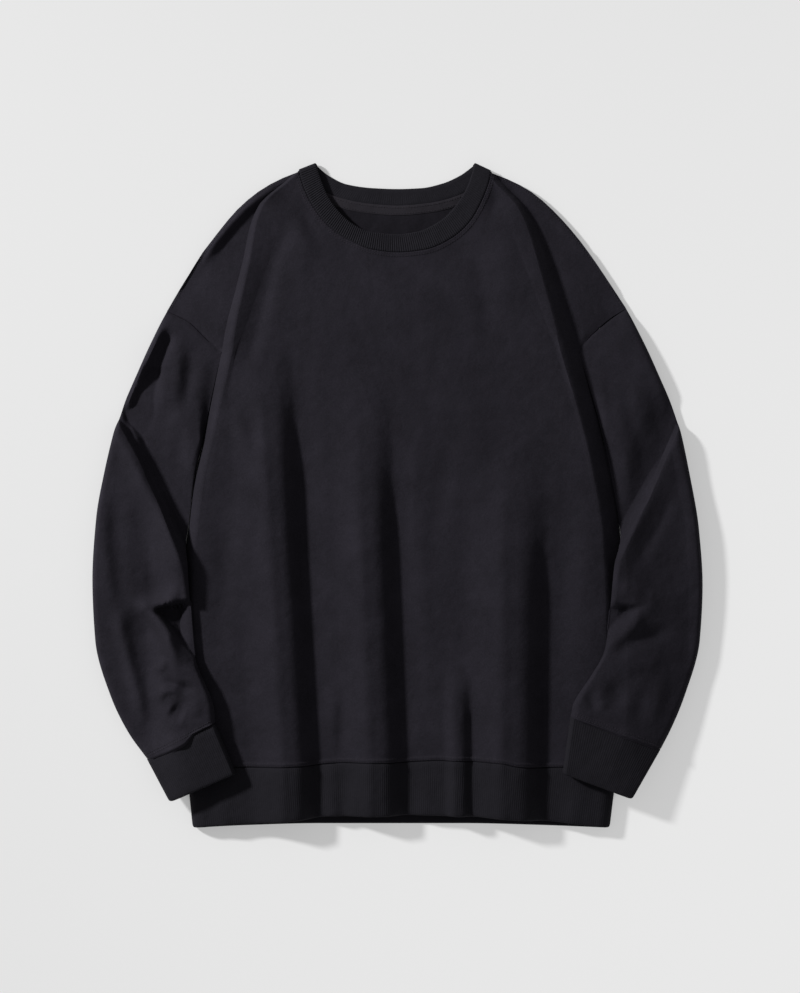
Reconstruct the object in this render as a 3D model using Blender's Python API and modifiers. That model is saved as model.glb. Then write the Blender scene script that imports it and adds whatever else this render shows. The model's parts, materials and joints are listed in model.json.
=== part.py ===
"""A drop-shoulder crewneck sweatshirt laid flat, each cut piece as its own wall of cloth.

Axes: X across the body, Y up the body towards the neck, Z away from the surface it lies on.
The side tables use the wearer's right side (negative X) and left side (positive X).
"""
import bpy
import bmesh
import math
import numpy as np

MM = 0.001

# Driving dimensions, in millimetres.
CLOTH = 2.0            # wall of the brushed jersey panels
RIB_WALL = 3.0         # doubled rib strip
SEAM_GAP = 0.3         # daylight between two pieces at a seam
RIB_PITCH = 2.3        # distance between two ribs
RIB_RISE = 0.5         # height of a rib over its groove
EDGE_TURN = 8.0        # radius of a sleeve's folded edge
SHELF = CLOTH + SEAM_GAP           # lowest level of what lies on the back panel
LOW_TOP = SHELF + CLOTH            # outer level of a front panel pressed on the back
SIDE_TURN = 15.0       # how far in the body's side reaches its full height
ARMHOLE_FOOT_Y = 62.0  # where the armhole seam ends and the side seam begins
NOTCH_Y = 158.0        # where the armhole seam runs in under the body's side fold
ARMHOLE_LIFT = 6.0     # how far the front's armhole edge stands open over the back's
ARMHOLE_RISE = 60.0    # how far up the body it takes to open
NECK_LEVEL = 9.5       # outer face of the front panel at the neck seam
TAPE_WALL = 1.0        # neck tape
TAPE_WIDTH = 8.0

COLOURS = {"jersey": (0.020, 0.018, 0.022), "rib": (0.017, 0.016, 0.019), "tape": (0.030, 0.027, 0.032)}

# The body's folded side, from the hem up to the armhole's notch: y, x of each side.
SIDE_EDGES = (
    # y     right   left
    (-292, -231.0, 240.0),
    (-238, -235.0, 246.0),
    (-167, -235.0, 247.0),
    (-112, -234.0, 247.0),
    (-69, -233.0, 245.0),
    (-36, -229.0, 243.0),
    (19, -222.0, 234.0),
    (62, -212.5, 225.0),
    (117, -201.0, 210.0),
    (158, -192.0, 198.0),
)
# Outer edge of the front panel above the notch: along the armhole seam to the shoulder's tip.
ARMHOLE = {
    "right": ((-192, 158), (-207, 172), (-220, 185), (-228, 192), (-245, 200), (-252, 203)),
    "left": ((198, 158), (208, 174), (220, 185), (235, 197), (243, 202), (250, 206)),
}
# Shoulder line from the tip up to the neck's highest point.
SHOULDER = {
    "right": ((-252, 203), (-235, 232), (-215, 263), (-196, 289),
              (-174, 315), (-150, 335), (-127, 348), (-112, 354)),
    "left": ((250, 206), (233, 232), (212, 263), (192, 289),
             (168, 315), (144, 335), (119, 348), (106, 353)),
}
# Foot of the body's side fold, from the notch up to the shoulder line.
FOLD_FOOT = {
    "right": ((-192, 158), (-187, 187), (-178, 222), (-168, 263),
              (-162, 293), (-152, 318), (-135, 335), (-120, 350)),
    "left": ((198, 158), (187, 195), (174, 233), (162, 269),
             (150, 300), (138, 320), (122, 336), (113, 349)),
}
# Neck curves, from the wearer's right to left.
NECK_SEAM_FRONT = ((-108, 356), (-102, 337), (-90, 314), (-74, 295), (-54, 281), (-27, 270), (0, 267),
                   (30, 270), (58, 282), (79, 301), (92, 324), (99, 342), (102, 355))
NECK_FREE_FRONT = ((-89, 363), (-84, 348), (-76, 329), (-64, 312), (-45, 296), (-27, 289), (0, 287),
                   (22, 290), (47, 302), (64, 319), (77, 341), (84, 363))
NECK_SEAM_BACK = ((-108, 356), (-97, 344), (-68, 327), (-30, 319), (0, 317),
                  (35, 320), (69, 329), (92, 344), (102, 355))
NECK_FREE_BACK = ((-89, 363), (-76, 352), (-55, 342), (-27, 338), (0, 337),
                  (26, 338), (49, 343), (69, 352), (84, 363))
# Hem curves: the seam under the front panel, the front's free edge and the back's free edge.
HEM_SEAM = ((-231, -293), (-163, -294), (-91, -292), (-52, -289), (7, -289),
            (46, -287), (112, -289), (131, -293), (164, -295), (240, -295))
HEM_FREE_FRONT = ((-224, -361), (-163, -356), (-101, -351), (-71, -348), (14, -347),
                  (79, -348), (128, -351), (158, -353), (232, -361))
HEM_FREE_BACK = ((-224, -362), (-163, -359), (-85, -357), (72, -357), (158, -359), (232, -362))

# Drape folds of the front: crest line's x at the hem and at its top end, the y where it starts
# and is full, its height, and how far its gentle and its steep side run out.
DRAPE_FOLDS = (
    # x_hem  x_top  y_start y_full height gentle steep
    (-122, -149, 190, 80, 15.0, 60.0, 36.0),
    (-29, -44, 150, 40, 13.0, 50.0, 34.0),
    (113, 119, 60, -60, 14.0, 58.0, 44.0),
    (63, 62, -175, -245, 7.0, 26.0, 18.0),
)
# Height of the front panel's outer face along the middle, and along its side crests.
BODY_LEVELS = (
    # y   middle  crest
    (-300, 14.0, 15.5),
    (-230, 14.5, 15.5),
    (-120, 15.0, 16.0),
    (-40, 15.0, 19.0),
    (60, 16.0, 23.0),
    (158, 16.5, 24.0),
    (230, 15.5, 22.0),
    (290, 13.0, 17.0),
    (330, 11.0, 12.0),
    (364, 10.0, 9.0),
)

# Sleeve stations, from the armhole to the cuff seam: outer and inner edge, the height of the
# top face over the bottom at the outer side and at the inner side, and how far the bottom
# climbs on to the body's side.
SLEEVE_STATIONS = {
    "right": (
        # x_out  y_out  x_in   y_in   rise_out rise_in climb
        (-252.6, 202.2, -213.4, 62, 8.0, 11.0, 0.0),
        (-270, 168, -217.5, 44, 12.0, 13.0, 0.0),
        (-286, 132, -221.9, 24, 15.0, 13.0, 0.0),
        (-297, 106, -226.5, -4, 14.0, 12.5, 0.0),
        (-303, 88, -229.6, -30, 12.0, 12.5, 0.0),
        (-309, 72, -231.0, -86, 19.0, 15.5, 1.0),
        (-320, 27, -226.0, -125, 18.0, 13.0, 1.0),
        (-329, -25, -219.0, -176, 18.0, 11.0, 1.0),
        (-333, -90, -209.0, -202, 18.0, 13.0, 1.0),
        (-330, -156, -202.0, -218, 17.0, 13.0, 1.0),
        (-314, -215, -199.0, -230, 16.0, 13.0, 1.0),
        (-294, -257, -198.0, -239, 15.0, 12.0, 1.0),
        (-274, -285, -198.0, -245, 13.0, 11.0, 1.0),
    ),
    "left": (
        (250.6, 205.2, 225.9, 62, 8.0, 11.0, 0.0),
        (270, 168, 229.8, 44, 12.0, 13.0, 0.0),
        (288, 128, 234.0, 24, 15.0, 13.0, 0.0),
        (298, 104, 238.8, -4, 14.0, 12.5, 0.0),
        (304, 87, 242.9, -26, 12.0, 12.5, 0.0),
        (309, 71, 243.0, -82, 19.0, 15.5, 1.0),
        (319, 24, 235.0, -120, 18.0, 12.0, 1.0),
        (329, -36, 225.0, -165, 18.0, 11.0, 1.0),
        (333, -96, 210.0, -194, 18.0, 13.0, 1.0),
        (330, -156, 197.0, -213, 17.0, 13.0, 1.0),
        (314, -215, 190.0, -226, 16.0, 13.0, 1.0),
        (299, -251, 189.0, -232, 15.0, 12.0, 1.0),
        (287, -274, 188.0, -237, 13.0, 11.0, 1.0),
    ),
}
# Tucks across a sleeve: place along the stations, place across (0 outer, 1 inner), depth and
# spreads.
SLEEVE_TUCKS = {
    "right": (
        # along across depth spread_along spread_across
        (6.6, 0.80, 7.0, 0.55, 0.30),
        (2.6, 0.42, 3.5, 1.2, 0.10),
        (9.6, 0.72, 4.0, 0.8, 0.16),
    ),
    "left": (
        (6.7, 0.70, 7.0, 0.55, 0.34),
        (2.4, 0.45, 2.5, 1.2, 0.12),
        (9.4, 0.60, 3.5, 0.8, 0.16),
    ),
}
CLIMB_LEVEL = 17.5     # how high a forearm's underside lies on the body's side
CLIMB_START = 40.0     # where the underside starts to climb, out from the body's edge
CLIMB_RUN = 38.0       # how far it takes to climb
# Free edge of each cuff: outer and inner corner.
CUFF_FREE = {"right": ((-248, -331), (-175, -300)), "left": ((255, -328), (179, -300))}


FLANK_POWER = 1.7      # over 1, a drape fold's steep side falls away late
# Past its steep side a drape fold dips by DIP_DEPTH of its height, at DIP_PLACE steep runs from
# the crest and over DIP_RUN of them to each side.
DIP_DEPTH = 0.2
DIP_PLACE = 1.1
DIP_RUN = 0.8
HALF_WIDTHS = (232.0, 245.0)   # of the body, to the wearer's right and left
CREST_FROM = 0.45      # share of a half width where the front starts to rise to its side crest
CREST_RUN = 0.5


def smooth(t):
    """Ease from 0 to 1 as t does."""
    t = np.clip(t, 0.0, 1.0)
    return t * t * (3.0 - 2.0 * t)


def along(path, fractions):
    """Points at fractions of a path's length, on a smooth curve through its points."""
    path = np.asarray(path, float)
    steps = np.hypot(*np.diff(path[:, :2], axis=0).T)
    length = np.concatenate([[0.0], np.cumsum(steps)])
    return spline(length / length[-1], path, np.asarray(fractions, float))


def spline(knots, values, at):
    """Cubic through the values at the knots, with slopes that never overshoot."""
    knots = np.asarray(knots, float)
    values = np.asarray(values, float)
    flat = values.ndim == 1
    if flat:
        values = values[:, None]
    gaps = np.diff(knots)
    slopes = np.diff(values, axis=0) / gaps[:, None]
    tangents = np.zeros_like(values)
    same = slopes[:-1] * slopes[1:] > 0
    mean = 2.0 * slopes[:-1] * slopes[1:] / np.where(same, slopes[:-1] + slopes[1:], 1.0)
    tangents[1:-1] = np.where(same, mean, 0.0)
    tangents[0] = slopes[0]
    tangents[-1] = slopes[-1]
    at = np.clip(at, knots[0], knots[-1])
    i = np.clip(np.searchsorted(knots, at, side="right") - 1, 0, len(gaps) - 1)
    h = gaps[i][:, None]
    t = ((at - knots[i]) / gaps[i])[:, None]
    result = ((2 * t**3 - 3 * t**2 + 1) * values[i] + (t**3 - 2 * t**2 + t) * h * tangents[i]
              + (3 * t**2 - 2 * t**3) * values[i + 1] + (t**3 - t**2) * h * tangents[i + 1])
    return result[:, 0] if flat else result


def column(table, key_column, value_column, at):
    """One named column of a table, read at values of its key column."""
    rows = sorted(table, key=lambda row: row[key_column])
    keys = [row[key_column] for row in rows]
    return spline(keys, [row[value_column] for row in rows], np.atleast_1d(np.asarray(at, float)))


def side_x(side, y):
    """Where the body's folded side lies at a height y."""
    return column(SIDE_EDGES, 0, 1 if side == "right" else 2, y)


def body_level(x, y):
    """Outer height of the front panel inside its side crests."""
    x = np.asarray(x, float)
    y = np.asarray(y, float)
    middle = column(BODY_LEVELS, 0, 1, y.ravel()).reshape(y.shape)
    crest = column(BODY_LEVELS, 0, 2, y.ravel()).reshape(y.shape)
    reach = np.abs(x) / np.where(x < 0, *HALF_WIDTHS)
    level = middle + (crest - middle) * smooth((reach - CREST_FROM) / CREST_RUN)
    for x_hem, x_top, y_start, y_full, height, gentle, steep in DRAPE_FOLDS:
        line = x_hem + (x_top - x_hem) * (y + 290.0) / (y_start + 290.0)
        away = x - line
        flank = 1.0 - smooth(np.clip(away / steep, 0.0, 1.0) ** FLANK_POWER)
        shape = np.where(away < 0, smooth(1.0 + away / gentle), flank)
        fade = smooth((y_start - y) / (y_start - y_full))
        dip = smooth(1.0 - np.abs(away - steep * DIP_PLACE) / (steep * DIP_RUN))
        level = level + height * fade * (shape - DIP_DEPTH * dip)
    return level


def new_object(name, bm, slot, collection):
    """A mesh object in metres with its own material, shaded smooth."""
    mesh = bpy.data.meshes.new(name)
    for vert in bm.verts:
        vert.co *= MM
    bm.to_mesh(mesh)
    bm.free()
    obj = bpy.data.objects.new(name, mesh)
    collection.objects.link(obj)
    material = bpy.data.materials.new(name + "_" + slot)
    material.use_nodes = True
    shader = material.node_tree.nodes["Principled BSDF"]
    shader.inputs["Base Color"].default_value = (*COLOURS[slot], 1.0)
    shader.inputs["Roughness"].default_value = 0.95
    shader.inputs["Metallic"].default_value = 0.0
    mesh.materials.append(material)
    mesh.shade_smooth()
    mesh.set_sharp_from_angle(angle=math.radians(50))
    return obj


def grid_surface(points, closed=False):
    """An open surface through rows of points; closed joins each row's ends."""
    bm = bmesh.new()
    rows, count = points.shape[:2]
    verts = [[bm.verts.new(p) for p in row] for row in points]
    for i in range(rows - 1):
        for j in range(count if closed else count - 1):
            k = (j + 1) % count
            bm.faces.new((verts[i][j], verts[i][k], verts[i + 1][k], verts[i + 1][j]))
    return bm


def cloth_wall(name, points, closed, collection, wall=CLOTH, slot="jersey"):
    """A cloth wall whose outer face is the given surface."""
    obj = new_object(name, grid_surface(points, closed), slot, collection)
    solidify = obj.modifiers.new("wall", "SOLIDIFY")
    solidify.thickness = wall * MM
    solidify.offset = -1.0
    solidify.use_even_offset = False
    return obj


# Front panel ------------------------------------------------------------------------------
FRONT_ROWS_BODY = 19
FRONT_ROWS_YOKE = 9
FRONT_COLUMNS = 30
TURN_COLUMNS = 6
SHELF_COLUMNS = 4      # columns of the shoulder, outside the body's fold
SHOULDER_BOW = (12.0, 10.0)    # how far out and up a shoulder's section bows between its ends
FLANK_SPREAD = 12.0    # run of the fold's flank at the notch
FLANK_NARROWS = 0.6    # share of that run lost at the shoulder
FLANK_MIDDLE = (0.45, 0.62)    # the flank's middle column, as shares of its run and of its rise
NECK_BLEND = 0.55      # share of the yoke from where the front settles to the neck's level


def front_side(side, row_y, yoke):
    """The outer columns of one section: the side's turn, or the shoulder and the fold's flank."""
    sign = -1.0 if side == "right" else 1.0
    if yoke <= 0.0:
        edge = side_x(side, row_y)[0]
        crest = column(BODY_LEVELS, 0, 2, row_y)[0]
        foot = SHELF + 0.1 + ARMHOLE_LIFT * smooth((row_y - ARMHOLE_FOOT_Y) / ARMHOLE_RISE)
        angles = np.linspace(0.0, math.pi / 2, TURN_COLUMNS + 1)
        x = edge - sign * SIDE_TURN * (1.0 - np.cos(angles))
        z = foot + (crest - foot) * np.sin(angles)
        return np.column_stack([x, np.full_like(x, row_y), z])
    outer = along(ARMHOLE[side], [yoke])[0]
    foot = along(FOLD_FOOT[side], [yoke])[0]
    if yoke >= 1.0:
        shoulder = along(SHOULDER[side], np.linspace(0.0, 1.0, SHELF_COLUMNS + 1))
        flat = shoulder[:-1]
        foot = shoulder[-1]
    else:
        share = np.linspace(0.0, 1.0, SHELF_COLUMNS + 1)[:-1, None]
        bow = np.array([sign * SHOULDER_BOW[0], SHOULDER_BOW[1]]) * yoke * np.sin(share * math.pi)
        flat = outer + (foot - outer) * share + bow
    crest = column(BODY_LEVELS, 0, 2, foot[1])[0]
    spread = FLANK_SPREAD * (1.0 - FLANK_NARROWS * yoke)
    inner = foot - np.array([sign * spread, 0.0])
    low = LOW_TOP + ARMHOLE_LIFT * (1.0 - smooth(yoke))
    rows = [(p[0], p[1], low) for p in flat]
    rows.append((foot[0], foot[1], low))
    middle = foot - np.array([sign * spread * FLANK_MIDDLE[0], 0.0])
    rows.append((middle[0], middle[1], low + (crest - low) * FLANK_MIDDLE[1]))
    rows.append((inner[0], inner[1], crest))
    return np.array(rows)


def front_points():
    """Every section of the front panel, from the hem seam up to the shoulders and neck."""
    sections = []
    share = np.linspace(0.0, 1.0, FRONT_COLUMNS + 1)
    neck = along(NECK_SEAM_FRONT, share)
    body_ys = np.linspace(-292.0, NOTCH_Y, FRONT_ROWS_BODY + 1)
    yokes = np.linspace(0.0, 1.0, FRONT_ROWS_YOKE + 1)[1:]
    for row_y, yoke in [(y, 0.0) for y in body_ys] + [(NOTCH_Y, t) for t in yokes]:
        right = front_side("right", row_y, yoke)
        left = front_side("left", row_y, yoke)[::-1]
        inner = share[1:-1, None]
        straight = right[-1, :2] + (left[0, :2] - right[-1, :2]) * inner
        if yoke > 0.0:
            straight = notch_row + (neck[1:-1] - notch_row) * yoke
        else:
            notch_row = straight
        level = body_level(straight[:, 0], straight[:, 1])
        level = level + (NECK_LEVEL - level) * smooth((yoke - NECK_BLEND) / (1.0 - NECK_BLEND))
        middle = np.column_stack([straight, level])
        sections.append(np.vstack([right, middle, left]))
    points = np.array(sections)
    points[0, :, 1] = np.interp(points[0, :, 0], *np.array(HEM_SEAM, float).T) + SEAM_GAP
    return points


# Back panel -------------------------------------------------------------------------------
BACK_ROWS = 10
BACK_YOKE_ROWS = 5
BACK_COLUMNS = 16
BACK_SHOULDER_COLUMNS = 5
TIP_RELIEF = 2.5       # the back's corner stands off the sleeve's folded edge at the shoulder tip


def shoulder_and_neck(neck, shares):
    """The top edge from one shoulder's tip over the neck to the other's, at shares of each stretch."""
    right = along(SHOULDER["right"], shares)[:-1]
    left = along(SHOULDER["left"], shares)[::-1][1:]
    return np.vstack([right, along(neck, np.linspace(0.0, 1.0, BACK_COLUMNS + 1)), left])


def back_points():
    """The back panel's flat rows, from the hem seam up to the shoulders and neck."""
    shares = np.linspace(0.0, 1.0, BACK_SHOULDER_COLUMNS + 1)
    top = shoulder_and_neck(NECK_SEAM_BACK, shares)
    top[0] += (TIP_RELIEF, TIP_RELIEF)
    top[-1] += (-TIP_RELIEF, TIP_RELIEF)
    spread = np.linspace(0.0, 1.0, len(top))[:, None]
    rows = []
    for y in np.linspace(-292.0, ARMHOLE_FOOT_Y, BACK_ROWS + 1):
        ends = np.array([[side_x("right", y)[0], y], [side_x("left", y)[0], y]])
        rows.append(ends[0] + (ends[1] - ends[0]) * spread)
    low = rows[-1]
    for lift in np.linspace(0.0, 1.0, BACK_YOKE_ROWS + 1)[1:]:
        rows.append(low + (top - low) * lift)
    plan = np.array(rows)
    plan[0, :, 1] = np.interp(plan[0, :, 0], *np.array(HEM_SEAM, float).T) + SEAM_GAP
    return np.concatenate([plan, np.full(plan.shape[:2] + (1,), CLOTH)], axis=2)


# Sleeves ----------------------------------------------------------------------------------
SLEEVE_ROWS = 24
ELBOW_ROWS = (3.9, 4.15, 4.4, 4.6, 4.8)    # further rings, where the sleeve climbs
ELBOW_PLACE = 4.5      # station where the rings lie most along the sleeve, so their turns are longest
ELBOW_SPREAD = 1.5     # stations to each side over which they grow
ELBOW_GROWS = 1.3      # and how much, against EDGE_TURN
SEAM_STANDOFF = (0.5, 0.8)     # the sleeve's edge lies this far out and down from the armhole seam
NOTCH_STANDOFF = (0.5, 1.5)    # and this much further at the notch
BESIDE_BODY = (140.0, 117.0, 90.0)     # heights of the edge's points beside the body's fold
BESIDE_GAP = 1.0
SEAM_FADE = 3.0        # stations until the rings no longer bow with the armhole seam
HEAD_RISE = 1.2        # stations until the sleeve has its own height
HEAD_EDGE = 1.2        # height of the sleeve head's ends over the pressed panel
HEAD_RUNS = (0.4, 0.35)        # shares of the section from each end to the head's full height
TOP_POINTS = 9
BOTTOM_POINTS = 5


def climb(side, x, y, share):
    """How high the surface under a forearm lies: the floor, or the body's side."""
    inward = (x - side_x(side, y)) * (1.0 if side == "right" else -1.0)
    return share * CLIMB_LEVEL * smooth((inward + CLIMB_START) / CLIMB_RUN)


def section_shares(width, count, turn):
    """Places across a flattened tube, close together in its folded edges."""
    edge = np.array([0.0, 0.3, 1.0]) * turn / width
    inner = np.linspace(edge[2], 1.0 - edge[2], count + 2)[1:-1]
    return np.concatenate([edge, inner, (1.0 - edge)[::-1]])


def tube_section(side, plan_top, plan_bottom, rise, climbs, width, dents, least, turn):
    """One ring of a flattened tube: over the top from the outer edge, and back underneath."""
    top = section_shares(width, TOP_POINTS, turn)
    bottom = section_shares(width, BOTTOM_POINTS, turn)[1:-1][::-1]
    ring = []
    for shares, plan, over in ((top, plan_top, True), (bottom, plan_bottom, False)):
        points = plan(shares)
        base = climb(side, points[:, 0], points[:, 1], climbs)
        height = rise(shares)
        near = np.minimum(shares, 1.0 - shares) * width / turn
        round_off = np.sqrt(np.clip(1.0 - (1.0 - np.minimum(near, 1.0)) ** 2, 0.0, 1.0))
        half = np.minimum(turn, height / 2.0)
        z = base + half + (height - half) * round_off if over else base + half * (1.0 - round_off)
        if over:
            z = z - dents(shares) * round_off
            z[1:-1] = np.maximum(z[1:-1], least)
        ring.append(np.column_stack([points, z]))
    return np.vstack(ring)


def armhole_path(side):
    """The sleeve's edge over the top: along the armhole seam and down beside the body's fold."""
    sign = -1.0 if side == "right" else 1.0
    seam = [(x + sign * SEAM_STANDOFF[0], y - SEAM_STANDOFF[1]) for x, y in ARMHOLE[side][::-1]]
    seam[-1] = (seam[-1][0] + sign * NOTCH_STANDOFF[0], seam[-1][1] - NOTCH_STANDOFF[1])
    beside = [(side_x(side, y)[0] + sign * BESIDE_GAP, y) for y in BESIDE_BODY]
    x_in, y_in = SLEEVE_STATIONS[side][0][2:4]
    return seam + beside + [(x_in, y_in)]


def sleeve_points(side):
    """Rings of the sleeve's outer face, from the armhole to the cuff seam."""
    table = np.array(SLEEVE_STATIONS[side], float)
    places = np.arange(len(table), dtype=float)
    knots = np.sort(np.concatenate([np.linspace(0.0, places[-1], SLEEVE_ROWS), ELBOW_ROWS]))
    rows = spline(places, table, knots)
    path = armhole_path(side)
    rings = []
    for place, (x_out, y_out, x_in, y_in, rise_out, rise_in, climbs) in zip(knots, rows):
        outer = np.array([x_out, y_out])
        inner = np.array([x_in, y_in])
        width = math.hypot(*(inner - outer))
        curved = max(0.0, 1.0 - place / SEAM_FADE) ** 1.5

        def line(shares):
            return outer + (inner - outer) * shares[:, None]

        def over(shares):
            straight = line(shares)
            return straight + (along(path, shares) - straight) * curved

        def rise(shares):
            height = rise_out + (rise_in - rise_out) * shares
            inward = np.minimum(shares / HEAD_RUNS[0], (1.0 - shares) / HEAD_RUNS[1])
            head = LOW_TOP + HEAD_EDGE + (ARMHOLE_LIFT - HEAD_EDGE) * smooth(inward)
            return head + (height - head) * smooth(place / HEAD_RISE)

        def dents(shares):
            total = np.zeros_like(shares)
            for at, across, depth, run, spread in SLEEVE_TUCKS[side]:
                away = ((place - at) / run) ** 2 + ((shares - across) / spread) ** 2
                total = total + depth * np.exp(-away)
            return total

        least = (LOW_TOP + SEAM_GAP) * max(0.0, 1.0 - place)
        turn = EDGE_TURN * (1.0 + ELBOW_GROWS * math.exp(-((place - ELBOW_PLACE) / ELBOW_SPREAD) ** 2))
        rings.append(tube_section(side, over, line, rise, climbs, width, dents, least, turn))
    return np.array(rings)


# Ribs -------------------------------------------------------------------------------------
PLAIN_STEP = 6         # ribbed stations that share one point of the plain inner face


def rib_band(name, seam, free, ribbed, collection):
    """A closed rib strip: ribs on its outer face where ribbed says, over a plain inner face.

    seam and free are the outer face's two edges, station by station round the ring.
    """
    count = len(seam)
    round_ring = np.roll(seam + free, -1, axis=0) - np.roll(seam + free, 1, axis=0)
    normal = np.cross(round_ring, free - seam)
    normal /= np.linalg.norm(normal, axis=1)[:, None]
    if normal[count // 4, 2] < 0.0:
        normal = -normal
    groove = (RIB_RISE * (np.arange(count) % 2) * ribbed)[:, None] * normal
    rest = [i for i in range(count) if not ribbed[i] or i % PLAIN_STEP == 0 or not ribbed[i - 1]]
    bm = bmesh.new()
    outer_seam = [bm.verts.new(p) for p in seam - groove]
    outer_free = [bm.verts.new(p) for p in free - groove]
    inner_seam = {i: bm.verts.new(seam[i] - RIB_WALL * normal[i]) for i in rest}
    inner_free = {i: bm.verts.new(free[i] - RIB_WALL * normal[i]) for i in rest}
    for i in range(count):
        k = (i + 1) % count
        bm.faces.new((outer_seam[i], outer_seam[k], outer_free[k]))
        bm.faces.new((outer_seam[i], outer_free[k], outer_free[i]))
    for start, end in zip(rest, rest[1:] + rest[:1]):
        bm.faces.new((inner_seam[start], inner_free[end], inner_seam[end]))
        bm.faces.new((inner_seam[start], inner_free[start], inner_free[end]))
        run = (end - start) % count
        half = run // 2
        for outer, inner, flip in ((outer_seam, inner_seam, 1), (outer_free, inner_free, -1)):
            fan = []
            for i in range(run):
                near = inner[start if i < half else end]
                fan.append((outer[(start + i) % count], outer[(start + i + 1) % count], near))
            fan.append((outer[(start + half) % count], inner[end], inner[start]))
            for face in fan:
                bm.faces.new(face[::-flip])
    bmesh.ops.recalc_face_normals(bm, faces=bm.faces)
    return new_object(name, bm, "rib", collection)


def rib_shares(length):
    """Even shares of a stretch, two for each rib."""
    return np.linspace(0.0, 1.0, 2 * int(length / RIB_PITCH) + 1)


def joined_ring(front, turn_left, back, turn_right):
    """One ring from its four stretches, with a mark on the stations that carry ribs."""
    ring = np.vstack([front, turn_left, back, turn_right])
    ribbed = np.zeros(len(ring))
    ribbed[1:len(front) - 1] = 1.0
    return ring, ribbed


# Neck rib ---------------------------------------------------------------------------------
NECK_RIB_SEAM = 10.8   # outer level of the front band at its seam
NECK_RIB_FREE = 9.6    # and at its free edge
NECK_SEAM_INSET = 0.8  # keeps the curved ring clear of the panels' straight edges
NECK_TIP_BULGE = (1.6, 4.2)    # how far out and up the ring bulges at a folded tip
NECK_TIP_REACH = (0.009, 0.012)        # shares of the front's and the back's curve that the tip takes up
NECK_RIB_LENGTH = 290.0        # stretch of the ring that carries ribs


def neck_ring(front_curve, back_curve, level):
    """One edge of the neck rib, round the front, a folded tip, the back and the other tip."""
    front_tip, back_tip = NECK_TIP_REACH
    shares = front_tip + (1.0 - 2.0 * front_tip) * rib_shares(NECK_RIB_LENGTH)
    front = np.column_stack([along(front_curve, shares), np.full(len(shares), level)])
    back_shares = np.linspace(1.0 - back_tip, back_tip, BACK_COLUMNS + 1)
    back = np.column_stack([along(back_curve, back_shares), np.zeros(len(back_shares))])
    turns = []
    for start, end, sign in ((front[-1], back[0], 1.0), (back[-1], front[0], -1.0)):
        angles = np.linspace(0.0, math.pi, 7)[1:-1]
        bulge = np.array([sign * NECK_TIP_BULGE[0], NECK_TIP_BULGE[1]])
        share = (1.0 - np.cos(angles)) / 2.0
        points = start + (end - start) * share[:, None]
        points[:, :2] += bulge * np.sin(angles)[:, None]
        turns.append(points)
    return joined_ring(front, turns[0], back, turns[1])


def neck_rib_rings():
    """Seam edge and free edge of the neck rib."""
    seam, ribbed = neck_ring(NECK_SEAM_FRONT, NECK_SEAM_BACK, NECK_RIB_SEAM)
    free, ribbed = neck_ring(NECK_FREE_FRONT, NECK_FREE_BACK, NECK_RIB_FREE)
    inward = free - seam
    seam = seam + NECK_SEAM_INSET * inward / np.linalg.norm(inward, axis=1)[:, None]
    return seam, free, ribbed


# Hem rib ----------------------------------------------------------------------------------
HEM_LIFT = 0.4         # the thicker rib stands this much over the panel
HEM_SETTLE = 0.96      # level of the free edge against the seam's
HEM_TURN = 4.0         # radius under the hem's side
HEM_RIB_LENGTH = 440.0
HEM_BACK_POINTS = 12


def hem_half(seam, side):
    """The side of the hem ring, from its top crest round to the underside."""
    sign = -1.0 if side == "right" else 1.0
    edge = side_x(side, -292.0)[0]
    crest = (column(BODY_LEVELS, 0, 2, -292.0)[0] + HEM_LIFT) * (1.0 if seam else HEM_SETTLE)
    if not seam:
        edge = (HEM_FREE_FRONT[0] if side == "right" else HEM_FREE_FRONT[-1])[0]
    over = np.linspace(math.pi / 2, 0.0, 6)[1:]
    under = np.linspace(0.0, math.pi / 2, 4)[1:]
    inward = np.concatenate([SIDE_TURN * (1.0 - np.cos(over)), HEM_TURN * (1.0 - np.cos(under))])
    z = np.concatenate([HEM_TURN + (crest - HEM_TURN) * np.sin(over), HEM_TURN * (1.0 - np.sin(under))])
    return edge - sign * inward, z


def hem_ring(seam):
    """One edge of the hem rib, round the front, the left side, the back and the right side."""
    right_x, right_z = hem_half(seam, "right")
    left_x, left_z = hem_half(seam, "left")
    start = right_x[0] + SIDE_TURN * 0.3
    end = left_x[0] - SIDE_TURN * 0.3
    shares = rib_shares(HEM_RIB_LENGTH)
    x = start + (end - start) * shares
    level = (body_level(x, np.full_like(x, -292.0)) + HEM_LIFT) * (1.0 if seam else HEM_SETTLE)
    back_x = np.linspace(left_x[-1], right_x[-1], HEM_BACK_POINTS + 2)[1:-1]
    front = np.array(HEM_SEAM if seam else HEM_FREE_FRONT, float)
    back = np.array(HEM_SEAM if seam else HEM_FREE_BACK, float)
    stretches = []
    for xs, zs, curve in ((x, level, front), (left_x, left_z, front), (back_x, np.zeros_like(back_x), back),
                          (right_x[::-1], right_z[::-1], front)):
        y = np.interp(xs, curve[:, 0], curve[:, 1]) - (SEAM_GAP if seam else 0.0)
        stretches.append(np.column_stack([xs, y, zs]))
    return joined_ring(*stretches)


def hem_rib_rings():
    """Seam edge and free edge of the hem rib."""
    seam, ribbed = hem_ring(True)
    free, ribbed = hem_ring(False)
    return seam, free, ribbed


# Cuffs ------------------------------------------------------------------------------------
CUFF_TURN = 4.5
CUFF_RIB_LENGTH = 80.0
CUFF_BACK_POINTS = 12
CUFF_GAP = 0.9         # the skewed walls of sleeve and cuff come nearest to each other inside
CUFF_RISE = (13.5, 12.5)   # top over the bottom, at the seam and at the free edge


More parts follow.
